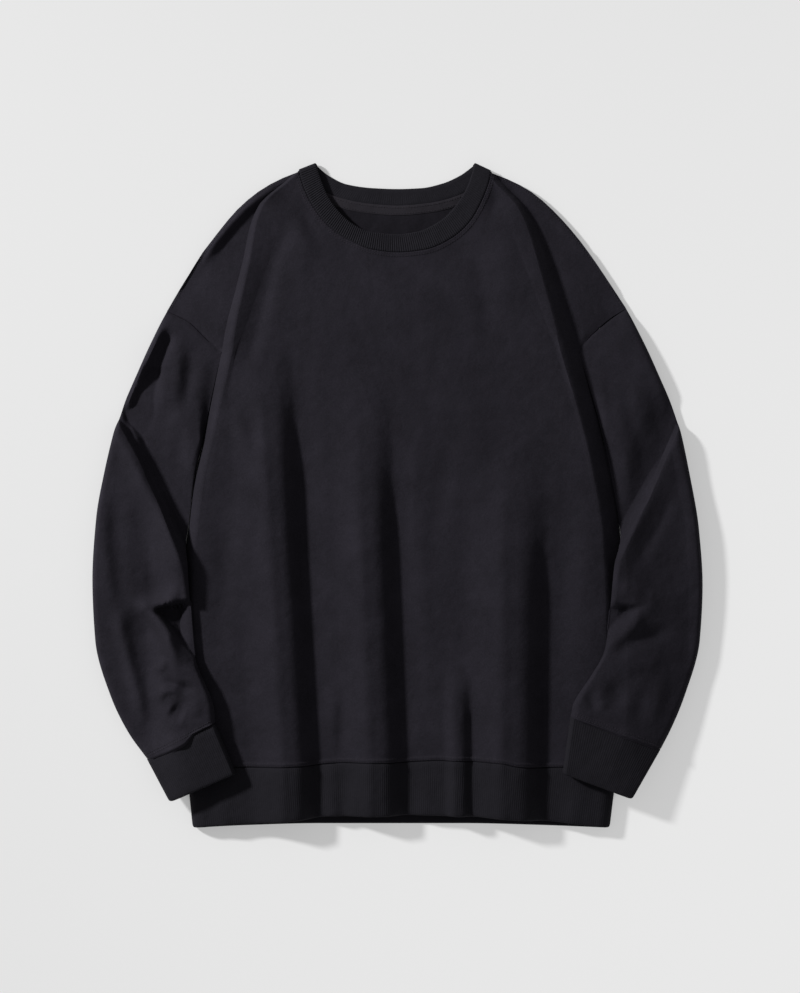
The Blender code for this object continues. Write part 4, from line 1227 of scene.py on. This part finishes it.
# ---- Back panel ----
def back_points(step):
    """The back panel's flat rows, from the hem seam up to the shoulders and neck."""
    shares = np.linspace(0.0, 1.0, SHOULDER_POINTS)
    right = along(SHOULDER["right"], shares)[:-1]
    left = along(SHOULDER["left"], shares)[::-1][1:]
    top = np.vstack([right, along(NECK_SEAM_BACK, np.linspace(0.0, 1.0, int(BACK_NECK / step))), left])
    top[0] += (TIP_RELIEF, TIP_RELIEF)
    top[-1] += (-TIP_RELIEF, TIP_RELIEF)
    spread = np.linspace(0.0, 1.0, len(top))[:, None]
    rows = []
    for y in np.linspace(HEM_Y, ARMHOLE_FOOT_Y, int((ARMHOLE_FOOT_Y - HEM_Y) / step)):
        right, left = (np.array([side_x(side, y), y]) for side in SIDES)
        rows.append(right + (left - right) * spread)
    low = rows[-1]
    for lift in np.linspace(0.0, 1.0, int(BACK_YOKE / step))[1:]:
        rows.append(low + (top - low) * lift)
    plan = follow_hem(np.array(rows))
    return np.concatenate([plan, np.full(plan.shape[:2] + (1,), CLOTH)], axis=2)


class SWEATSHIRT_OT_back(bpy.types.Operator):
    """Build the back panel that the garment lies on"""
    bl_idname = "sweatshirt.back"
    bl_label = "Back"

    def execute(self, context):
        obj = cloth_wall("back_cloth", back_points(BACK_STEP), False, jersey(), CLOTH)
        # Faces turned up, the garment's inner side, take the darkened jersey: painted shade inside the neck.
        obj.data.materials.append(jersey_reverse())
        for face in obj.data.polygons:
            face.material_index = 1 if face.normal.z > 0.5 else 0
        finish_piece(obj, ["back"], "jersey")
        lay(obj, "back", (), [sew("back_stitches", obj, hem_rows(), True)])
        return {"FINISHED"}


# ---- Sleeves ----
def pocket(side, x, y):
    """How far a point lies in the sleeve's tuck, and the rim round it."""
    _, over_edge, far_edge, within = POCKETS[side]
    over = distance_past(over_edge, x, y, within)
    far = distance_past(far_edge, x, y, within)
    inside = smooth(over / POCKET_RUNS[side][0]) * smooth(far / POCKET_RUNS[side][1])
    rim = bell((np.minimum(over, far) + POCKET_RIM_AWAY) / POCKET_RIM_RUN) * (1.0 - inside)
    return inside, rim * smooth(-inside_edge(side, x, y) / POCKET_RIM_REACH)


def climb(side, x, y, share):
    """How high the surface under a forearm lies: the floor, or the body's side."""
    inward = inside_edge(side, x, y)
    start = CLIMB_START[side]
    t = np.clip((inward + start) / (start - CLIMB_SHORT), 0.0, 1.0)
    rise = share * CLIMB_LEVEL * (CLIMB_EVEN[side] * t + (1.0 - CLIMB_EVEN[side]) * smooth(t))
    away, run, power = TUCK_FLANK
    flank = CLIMB_LEVEL * (1.0 - (1.0 - np.clip((inward + away) / run, 0.0, 1.0)) ** power)
    return rise + (np.minimum(rise, flank) - rise) * pocket(side, x, y)[0] * POCKET_SINK[side]


def section_shares(width, count, turn):
    """Places across a flattened tube, close together in its folded edges."""
    edge = (1.0 - np.cos(np.linspace(0.0, math.pi / 2, EDGE_POINTS))) * turn / width
    inner = np.linspace(edge[-1], 1.0 - edge[-1], count + 2)[1:-1]
    return np.concatenate([edge, inner, (1.0 - edge)[::-1]])


def armhole_path(side):
    """The sleeve's edge over the top: along the armhole seam and down beside the body's fold."""
    sign = OUTWARD[side]
    seam = [(x + sign * gap, y - ARMHOLE_GAP_SLOPE * gap)
            for (x, y), gap in zip(ARMHOLE[side][::-1], ARMHOLE_GAPS)]
    y_in = SLEEVE_STATIONS[side][0][3]
    beside = [(float(side_x(side, y)) + sign * FOLD_GAP, y) for y in FOLD_GAP_YS]
    return seam + beside + [(float(side_x(side, y_in)) + sign * BESIDE_GAP, y_in)]


def cuff_corners(side):
    """The cuff's seam and its free edge, each as outer and inner corner, and the way down."""
    seam = np.array(SLEEVE_STATIONS[side][-1][:4], float).reshape(2, 2)
    free = np.array(CUFF_FREE[side], float)
    down = (free - seam).sum(axis=0)
    return seam, free, down / math.hypot(*down)


def fold_forearm(side, place, line, base, z, round_off):
    """Puffs the forearm along its folded edge and steps down past it to the upper arm."""
    past = distance_past(FOREARM_EDGE[side], *line.T, UPPER_ARM[side])
    low = np.maximum(UPPER_ARM_LOW, base + ARM_LEAST)
    low = low + (z - low) * smooth((past - UPPER_ARM_HOLD[side]) / UPPER_ARM_RUN)
    low = np.minimum(low, z)
    puff = FOREARM_PUFF[side] * bell((past + FOREARM_PUFF_AWAY) / FOREARM_PUFF_RUN)
    puff = puff * smooth((line[:, 1] - PUFF_END) / PUFF_FADE) * smooth(-past / PUFF_RIM)
    z = z + puff * round_off * smooth((place - PUFF_PLACE) / PUFF_PLACE_RUN)
    return low + (z - low) * smooth(1.0 - past / FOREARM_DROP[side])


def sleeve_top(side, place, left, shares, width, line, base, height, half, round_off, tuck):
    """The upper face of one ring, left stations before the cuff: its plan and its heights."""
    inside, rim = tuck
    low = BESIDE_LEVEL[side]
    low = low + (height - low) * smooth((1.0 - shares) * width / BESIDE_RUN[side])
    height = height + (np.minimum(height, low) - height) * smooth((BESIDE_PLACE - place) / FOLD_PLACE_RUN)
    z = base + half + (height - half) * round_off
    for at, across, depth, run, spread in SLEEVE_TUCKS[side]:
        z = z - depth * bell(np.hypot((place - at) / run, (shares - across) / spread)) * round_off
    z = fold_forearm(side, place, line, base, z, round_off)
    z = z + (POCKET_RIM[side] * rim - POCKETS[side][0] * inside) * round_off
    drawn = SLEEVE_CREASES[side] + ((*ARMHOLE_GROOVE, *ARMHOLE[side]),)
    z = z + creases(drawn, *line.T) * round_off * smooth(left / CREASES_END)
    z = z + CUFF_WELT * round_off * bell((left - CUFF_WELT_PLACE) / CUFF_WELT_RUN)
    reach, lift, end = CUFF_PUFF[side]
    t = min(max(1.0 - left / CUFF_PUFF_RUN, 0.0), 1.0)
    window = smooth(shares / CUFF_PUFF_FADES[0]) * smooth((end - shares) / CUFF_PUFF_FADES[1])
    z = z + lift * window * math.sin(math.pi * t * t)
    line = line + cuff_corners(side)[2] * (reach * window * smooth(t))[:, None]
    over_cuff = base + CUFF_RISE[side][0] + CUFF_PUFF_OVER
    z = z + (np.maximum(z, over_cuff) - z) * window * smooth((t - CUFF_PUFF_FROM) / CUFF_PUFF_FULL)
    least = np.maximum((LOW_TOP + SEAM_GAP) * max(0.0, 1.0 - place), base + SLEEVE_LEAST)
    z[1:-1] = np.maximum(z, least)[1:-1]
    return line, z


def sleeve_points(side, step):
    """Rings of the sleeve's outer face, from the armhole to the cuff seam."""
    table = np.array(SLEEVE_STATIONS[side], float)
    last = float(len(table) - 1)
    cuff_rows = np.linspace(last - CUFF_ROWS[0], last - CUFF_ROWS[1], CUFF_ROWS[2])
    extra = [np.linspace(*ELBOW_ROWS), cuff_rows]
    knots = np.sort(np.concatenate([np.linspace(0.0, last, int(SLEEVE_RUN / step)), *extra]))
    rows = spline(np.arange(len(table), dtype=float), table, knots)
    path = armhole_path(side)
    rings = []
    for place, (x_out, y_out, x_in, y_in, rise_out, rise_in, climbs) in zip(knots, rows):
        folded = smooth((place - FOLD_PLACE) / FOLD_PLACE_RUN)
        beside = side_x(side, y_in) + OUTWARD[side] * BESIDE_GAP
        outer = np.array([x_out, y_out])
        across = np.array([beside + (x_in - beside) * folded, y_in]) - outer
        width = math.hypot(*across)
        turn = EDGE_TURN * (1.0 + ELBOW_WIDER * bell((place - ELBOW_PLACE) / ELBOW_RUN))
        turn_in = UPPER_ARM_TURN + (turn - UPPER_ARM_TURN) * folded
        turn_out = EDGE_TURN + (turn - EDGE_TURN) * ELBOW_SPREAD[side]
        ring = []
        for over in (True, False):
            shares = section_shares(width, int(SLEEVE_ACROSS / step) if over else BELOW_COUNT, turn)
            shares = shares if over else shares[1:-1][::-1]
            line = outer + across * shares[:, None]
            if over:
                line = line + (along(path, shares) - line) * max(0.0, 1.0 - place / SEAM_HOLD) ** SEAM_EASE
            base = climb(side, *line.T, climbs)
            hump = smooth(np.minimum(shares / HUMP_RUNS[0], (1.0 - shares) / HUMP_RUNS[1]))
            hump = LOW_TOP + HUMP_LEAST + (ARMHOLE_LIFT - HUMP_LEAST) * hump
            height = rise_out + (rise_in - rise_out) * shares
            height = hump + (height - hump) * smooth(place / HUMP_END)
            near = np.minimum(np.minimum(shares / turn_out, (1.0 - shares) / turn_in) * width, 1.0)
            round_off = np.sqrt(np.clip(1.0 - (1.0 - near) ** 2, 0.0, 1.0))
            tuck = pocket(side, *line.T)
            half = np.minimum(turn, height / 2.0)
            half = half + (POCKET_FLAT - half) * tuck[0]
            z = base + half * (1.0 - round_off)
            if over:
                line, z = sleeve_top(side, place, last - place, shares, width, line, base, height, half,
                                     round_off, tuck)
            ring.append(at_height(line, z))
        rings.append(np.vstack(ring))
    points = np.array(rings)
    return points[:, ::-1] if side == "right" else points


class SWEATSHIRT_OT_sleeves(bpy.types.Operator):
    """Build both sleeves with the creases they lie in"""
    bl_idname = "sweatshirt.sleeves"
    bl_label = "Sleeves"

    def execute(self, context):
        step = context.scene.sweatshirt_cloth.fineness / MM * SLEEVE_FINENESS
        for side in SIDES:
            obj = cloth_wall("sleeve_cloth_" + side, sleeve_points(side, step), True, jersey(), CLOTH)
            finish_piece(obj, ["sleeve_" + side], "jersey")
            seam = cuff_corners(side)[0]
            rows = [offset_line(seam, -OUTWARD[side] * gap, *CUFF_SEWN) for gap in SEWN_ROWS]
            fall = 1.0 - smooth(np.linspace(0.0, 1.0, CORD_POINTS))
            levels = LOW_TOP - CORD_UNDER + CORD_RISE * fall
            sewing = [sew("sleeve_stitches_" + side, obj, rows),
                      sew("sleeve_stitches_under_" + side, obj, rows, True),
                      seam_cord("armhole_overlock_" + side, ARMHOLE[side], levels, ARMHOLE_CORD)]
            lay(obj, "sleeve", (), sewing)
        return {"FINISHED"}


# ---- Ribs ----
def raise_ribs(name):
    """Geometry nodes that raise ribs round a band: its points hold how far round they lie."""
    tree, given = new_group(name, Pitch="Float", Rise="Float", Material="Material")
    turns = maths(tree, "DIVIDE", attribute(tree, "rib_run", "FLOAT"), given["Pitch"])
    wave = maths(tree, "COSINE", maths(tree, "MULTIPLY", turns, 2.0 * math.pi))
    depth = maths(tree, "MULTIPLY", maths(tree, "MULTIPLY_ADD", wave, 0.5, -0.5), given["Rise"])
    local = maths(tree, "MULTIPLY", depth, attribute(tree, "rib_weight", "FLOAT"))
    normal = attribute(tree, "rib_normal", "FLOAT_VECTOR")
    offset = node(tree, "ShaderNodeVectorMath", {0: normal, "Scale": local}, operation="SCALE")
    moved = node(tree, "GeometryNodeSetPosition",
                 {"Geometry": given["Geometry"], "Offset": offset.outputs[0]})
    return end_group(tree, moved.outputs[0], given["Material"])


def rib_band(name, seam, free, rise=1.0):
    """A closed, doubled rib strip between the two edges of its outer face."""
    around = np.roll(seam + free, -1, axis=0) - np.roll(seam + free, 1, axis=0)
    normal = np.cross(around, free - seam)
    normal /= np.linalg.norm(normal, axis=1)[:, None]
    if normal[len(seam) // 4, 2] < 0.0:
        normal = -normal
    middle = (seam + free) / 2.0
    steps = np.linalg.norm(np.roll(middle, -1, axis=0) - middle, axis=1)
    rib = bpy.context.scene.sweatshirt_rib
    pitch = rib.pitch / MM
    run = np.concatenate([[0.0], np.cumsum(steps)[:-1]])
    run *= round(steps.sum() / pitch) * pitch / steps.sum()
    points = [seam + (free - seam) * share - normal * RIB_WALL * depth for share, depth, _ in RIB_SECTION]
    count = len(RIB_SECTION)
    obj = mesh_object(name, np.stack(points, axis=1), grid_faces(len(seam), count, True, True), rib_knit())
    values = {
        "rib_run": ("FLOAT", "value", np.repeat(run * MM, count)),
        "rib_weight": ("FLOAT", "value", np.tile([row[2] for row in RIB_SECTION], len(seam))),
        "rib_normal": ("FLOAT_VECTOR", "vector", np.repeat(normal, count, axis=0).ravel()),
    }
    for key, (kind, field, data) in values.items():
        layer = obj.data.attributes.new(key, kind, "POINT")
        layer.data.foreach_set(field, np.asarray(data, np.float32))
    run_nodes(obj, raise_ribs, values, Pitch=rib.pitch, Rise=rib.rise * rise, Material=rib_knit())
    face_outwards(obj)
    return obj


def rib_count(length):
    """Stations that a stretch needs for its ribs."""
    rib = bpy.context.scene.sweatshirt_rib
    return int(length * MM / rib.pitch * rib.points) + 1


# ---- Neck ----
def neck_ring(front_curve, back_curve, level):
    """One edge of the neck rib, round the front, a folded tip, the back and the other tip."""
    front_tip, back_tip = NECK_TIP_REACH
    shares = np.linspace(front_tip, 1.0 - front_tip, rib_count(NECK_LENGTHS[0]))
    front = at_height(along(front_curve, shares), level)
    shares = np.linspace(1.0 - back_tip, back_tip, rib_count(NECK_LENGTHS[1]))
    back = at_height(along(back_curve, shares), 0.0)
    angles = np.linspace(0.0, math.pi, TIP_POINTS)[1:-1]
    turns = []
    for start, end, sign in ((front[-1], back[0], 1.0), (back[-1], front[0], -1.0)):
        bulge = np.array([sign * NECK_TIP_BULGE[0], NECK_TIP_BULGE[1]])
        points = start + (end - start) * ((1.0 - np.cos(angles)) / 2.0)[:, None]
        points[:, :2] += bulge * np.sin(angles)[:, None]
        turns.append(points)
    return np.vstack([front, turns[0], back, turns[1]])


class SWEATSHIRT_OT_neck(bpy.types.Operator):
    """Build the neck rib and the tape over the back neck seam"""
    bl_idname = "sweatshirt.neck"
    bl_label = "Neck rib and tape"

    def execute(self, context):
        seam = neck_ring(NECK_SEAM_FRONT, NECK_SEAM_BACK, NECK_RIB_SEAM)
        free = neck_ring(NECK_FREE_FRONT, NECK_FREE_BACK, NECK_RIB_FREE)
        inward = free - seam
        seam = seam + SEAM_GAP * inward / np.linalg.norm(inward, axis=1)[:, None]
        obj = rib_band("neck_rib_knit", seam, free)
        finish_piece(obj, ["neck_rib"], "rib")
        lay(obj, "neck_rib")
        edge = along(NECK_SEAM_BACK, np.linspace(*TAPE_REACH))
        down = -sideways(edge)
        rows = [at_height(edge + down * reach, top) for reach, top in TAPE_SECTION]
        tape = cloth_wall("neck_tape_twill", np.array(rows), False,
                          cloth_material("twill_tape", *TAPE_FINISH), TAPE_WALL)
        finish_piece(tape, ["neck_tape"], "tape")
        seam_cord("neck_overlock", NECK_SEAM_FRONT, NECK_LEVEL - CLOTH - NECK_CORD / 2.0, NECK_CORD)
        rows = [offset_line(NECK_SEAM_BACK, gap, *TAPE_SEWN) for gap in TAPE_ROWS]
        lay(tape, "neck_tape", ["back_cloth"], [sew("neck_tape_stitches", tape, rows)])
        return {"FINISHED"}


# ---- Hem ----
def hem_side(seam, side):
    """The side of the hem ring, from its top crest round to the underside."""
    edge = float(side_x(side, HEM_Y)) if seam else HEM_FREE_FRONT[0 if side == "right" else -1][0]
    crest = (column(BODY_LEVELS, 2, HEM_Y) + HEM_LIFT) * (1.0 if seam else HEM_SETTLE)
    over = np.linspace(math.pi / 2, 0.0, HEM_TURN_POINTS[0])[1:]
    under = np.linspace(0.0, math.pi / 2, HEM_TURN_POINTS[1])[1:]
    inward = np.concatenate([SIDE_TURN * (1.0 - np.cos(over)), HEM_TURN * (1.0 - np.cos(under))])
    z = np.concatenate([HEM_TURN + (crest - HEM_TURN) * np.sin(over), HEM_TURN * (1.0 - np.sin(under))])
    return edge - OUTWARD[side] * inward, z


def hem_ring(seam):
    """One edge of the hem rib, round the front, the left side, the back and the right side."""
    (right_x, right_z), (left_x, left_z) = (hem_side(seam, side) for side in SIDES)
    x = np.linspace(right_x[0] + HEM_SIDE_GAP, left_x[0] - HEM_SIDE_GAP, rib_count(HEM_WIDTH))
    level = body_level(x, np.full_like(x, HEM_Y)) + creases(FRONT_CREASES, x, np.full_like(x, HEM_Y))
    level = level + creases(HEM_CREASES, x, np.full_like(x, HEM_CREASE_YS[0 if seam else 1]))
    level = (level + HEM_LIFT) * (1.0 if seam else HEM_SETTLE)
    back_x = np.linspace(left_x[-1], right_x[-1], rib_count(HEM_WIDTH))[1:-1]
    front = HEM_SEAM if seam else HEM_FREE_FRONT
    back = HEM_SEAM if seam else HEM_FREE_BACK
    stretches = []
    for xs, zs, curve in ((x, level, front), (left_x, left_z, front), (back_x, 0.0, back),
                          (right_x[::-1], right_z[::-1], front)):
        ys = column(curve, 1, xs) - (SEAM_GAP if seam else 0.0)
        stretches.append(at_height(np.column_stack([xs, ys]), zs))
    return np.vstack(stretches)


class SWEATSHIRT_OT_hem(bpy.types.Operator):
    """Build the hem rib"""
    bl_idname = "sweatshirt.hem"
    bl_label = "Hem rib"

    def execute(self, context):
        obj = rib_band("hem_rib_knit", hem_ring(True), hem_ring(False), SOFT_RIB)
        finish_piece(obj, ["hem_rib"], "rib")
        lay(obj, "hem_rib")
        return {"FINISHED"}


# ---- Cuffs ----
def cuff_ring(side, corners, rise):
    """One edge of a cuff, over the top from the outer corner and back underneath."""
    outer, inner = corners
    edge = CUFF_TURN / math.hypot(*(inner - outer))
    top = np.linspace(edge, 1.0 - edge, rib_count(CUFF_WIDTH))
    angles = np.linspace(0.0, math.pi, CUFF_TURN_POINTS)[1:-1]
    turned = 1.0 - edge + edge * np.sin(angles)
    half = rise / 2.0
    stretches = []
    for shares, lift in ((top, rise), (turned, half + half * np.cos(angles)), (top[::-1], 0.0),
                         (1.0 - turned, half - half * np.cos(angles))):
        points = outer + (inner - outer) * shares[:, None]
        stretches.append(at_height(points, climb(side, *points.T, 1.0) + lift))
    return np.vstack(stretches)


class SWEATSHIRT_OT_cuffs(bpy.types.Operator):
    """Build both cuffs"""
    bl_idname = "sweatshirt.cuffs"
    bl_label = "Cuffs"

    def execute(self, context):
        for side in SIDES:
            seam, free, down = cuff_corners(side)
            seam_edge = cuff_ring(side, seam + down * CUFF_GAP, CUFF_RISE[side][0])
            free_edge = cuff_ring(side, free, CUFF_RISE[side][1])
            obj = rib_band("cuff_knit_" + side, seam_edge, free_edge, SOFT_RIB)
            finish_piece(obj, ["cuff_" + side], "rib")
            lay(obj, "cuff")
        return {"FINISHED"}


# ---- Stage ----
def floor_paper(stage):
    """Pale paper that glows just enough to look even, except close under the garment."""
    material = bpy.data.materials.new("floor_paper")
    material.use_nodes = True
    tree = material.node_tree
    near = node(tree, "ShaderNodeAmbientOcclusion", {"Distance": SHADE_REACH}, samples=8)
    place = node(tree, "ShaderNodeNewGeometry").outputs["Position"]
    to_key = (-math.cos(KEY_AZIMUTH), math.sin(KEY_AZIMUTH), 0.0)
    toward = node(tree, "ShaderNodeVectorMath", {0: place, 1: to_key}, operation="DOT_PRODUCT")
    fall = FALL_POWER * math.cos(stage.height) / KEY_DISTANCE
    share = maths(tree, "EXPONENT", maths(tree, "MULTIPLY", toward.outputs["Value"], fall))
    lit = stage.key * math.sin(stage.height) / math.pi
    missing = maths(tree, "MULTIPLY_ADD", share, -PAPER * lit, PAPER_TONE - PAPER * stage.fill, clamp=True)
    glow = node(tree, "ShaderNodeMapRange",
                {"Value": near.outputs["AO"], "From Min": SHADE_RANGE[0], "From Max": SHADE_RANGE[1],
                 "To Min": 0.0, "To Max": missing})
    fill(tree, tree.nodes["Principled BSDF"],
         {"Base Color": (PAPER, PAPER, PAPER, 1.0), "Roughness": 1.0, "Specular IOR Level": 0.0,
          "Emission Color": (1.0, 1.0, 1.0, 1.0), "Emission Strength": glow.outputs["Result"]})
    return material


class SWEATSHIRT_OT_stage(bpy.types.Operator):
    """Set up the floor, the lights and the camera"""
    bl_idname = "sweatshirt.stage"
    bl_label = "Stage"

    def execute(self, context):
        scene = context.scene
        stage = scene.sweatshirt_stage
        scene.view_settings.view_transform = "Standard"
        bpy.ops.mesh.primitive_plane_add(size=FLOOR_SIZE, location=(0.0, 0.0, -FLOOR_DROP))
        floor = context.object
        floor.name = "floor"
        floor.data.materials.append(floor_paper(stage))
        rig.stage(floor)
        scene.world = bpy.data.worlds.new("studio")
        scene.world.use_nodes = True
        fill(scene.world.node_tree, scene.world.node_tree.nodes["Background"],
             {"Color": (1.0, 1.0, 1.0, 1.0), "Strength": stage.fill})
        lamp = bpy.data.lights.new("key", "AREA")
        lamp.shape = "DISK"
        lamp.size = 2.0 * KEY_DISTANCE * math.tan(math.radians(KEY_SPREAD / 2.0))
        lamp.energy = stage.key * math.pi * KEY_DISTANCE**2
        key = linked("key", lamp)
        flat = KEY_DISTANCE * math.cos(stage.height)
        key.location = (-flat * math.cos(KEY_AZIMUTH), flat * math.sin(KEY_AZIMUTH),
                        KEY_DISTANCE * math.sin(stage.height))
        key.rotation_euler = (0.0, math.pi / 2 - stage.height, math.pi - KEY_AZIMUTH)
        camera = bpy.data.cameras.new("camera")
        camera.lens = LENS
        camera.sensor_width = SENSOR
        scene.camera = linked("camera", camera)
        aim = (np.array(CAMERA_AIM) + DRAWING_SHIFT) * MM
        scene.camera.location = (aim[0], aim[1], aim[2] + FRAME_HEIGHT * MM * LENS / SENSOR)
        return {"FINISHED"}


class SWEATSHIRT_PT_panel(bpy.types.Panel):
    """The sweatshirt's operators and settings"""
    bl_label = "Sweatshirt"
    bl_idname = "SWEATSHIRT_PT_panel"
    bl_space_type = "VIEW_3D"
    bl_region_type = "UI"
    bl_category = "Sweatshirt"

    def draw(self, context):
        for operator in OPERATORS:
            self.layout.operator(operator.bl_idname)
        for name in SETTINGS:
            group = getattr(context.scene, name)
            box = self.layout.box()
            for key in group.bl_rna.properties.keys():
                if key not in {"rna_type", "name"}:
                    box.prop(group, key)


OPERATORS = (SWEATSHIRT_OT_stage, SWEATSHIRT_OT_front, SWEATSHIRT_OT_back, SWEATSHIRT_OT_sleeves,
             SWEATSHIRT_OT_neck, SWEATSHIRT_OT_hem, SWEATSHIRT_OT_cuffs)
CLASSES = tuple(SETTINGS.values()) + OPERATORS + (SWEATSHIRT_PT_panel,)


def register():
    """Registers the classes and hangs the settings on the scene."""
    for cls in CLASSES:
        bpy.utils.register_class(cls)
    for name, cls in SETTINGS.items():
        setattr(bpy.types.Scene, name, PointerProperty(type=cls))


def unregister():
    """Takes the settings and classes away again."""
    for name in SETTINGS:
        delattr(bpy.types.Scene, name)
    for cls in reversed(CLASSES):
        bpy.utils.unregister_class(cls)


def main():
    """Builds everything in order and writes the bounding boxes of the model and of what is built."""
    register()
    for operator in OPERATORS:
        group, name = operator.bl_idname.split(".")
        getattr(getattr(bpy.ops, group), name)()
    sizes = {"cad": CAD_BOX, "visual": [list(corner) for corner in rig.bounds()]}
    with open("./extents.json", "w") as out:
        json.dump(sizes, out)


if __name__ == "__main__":
    main()
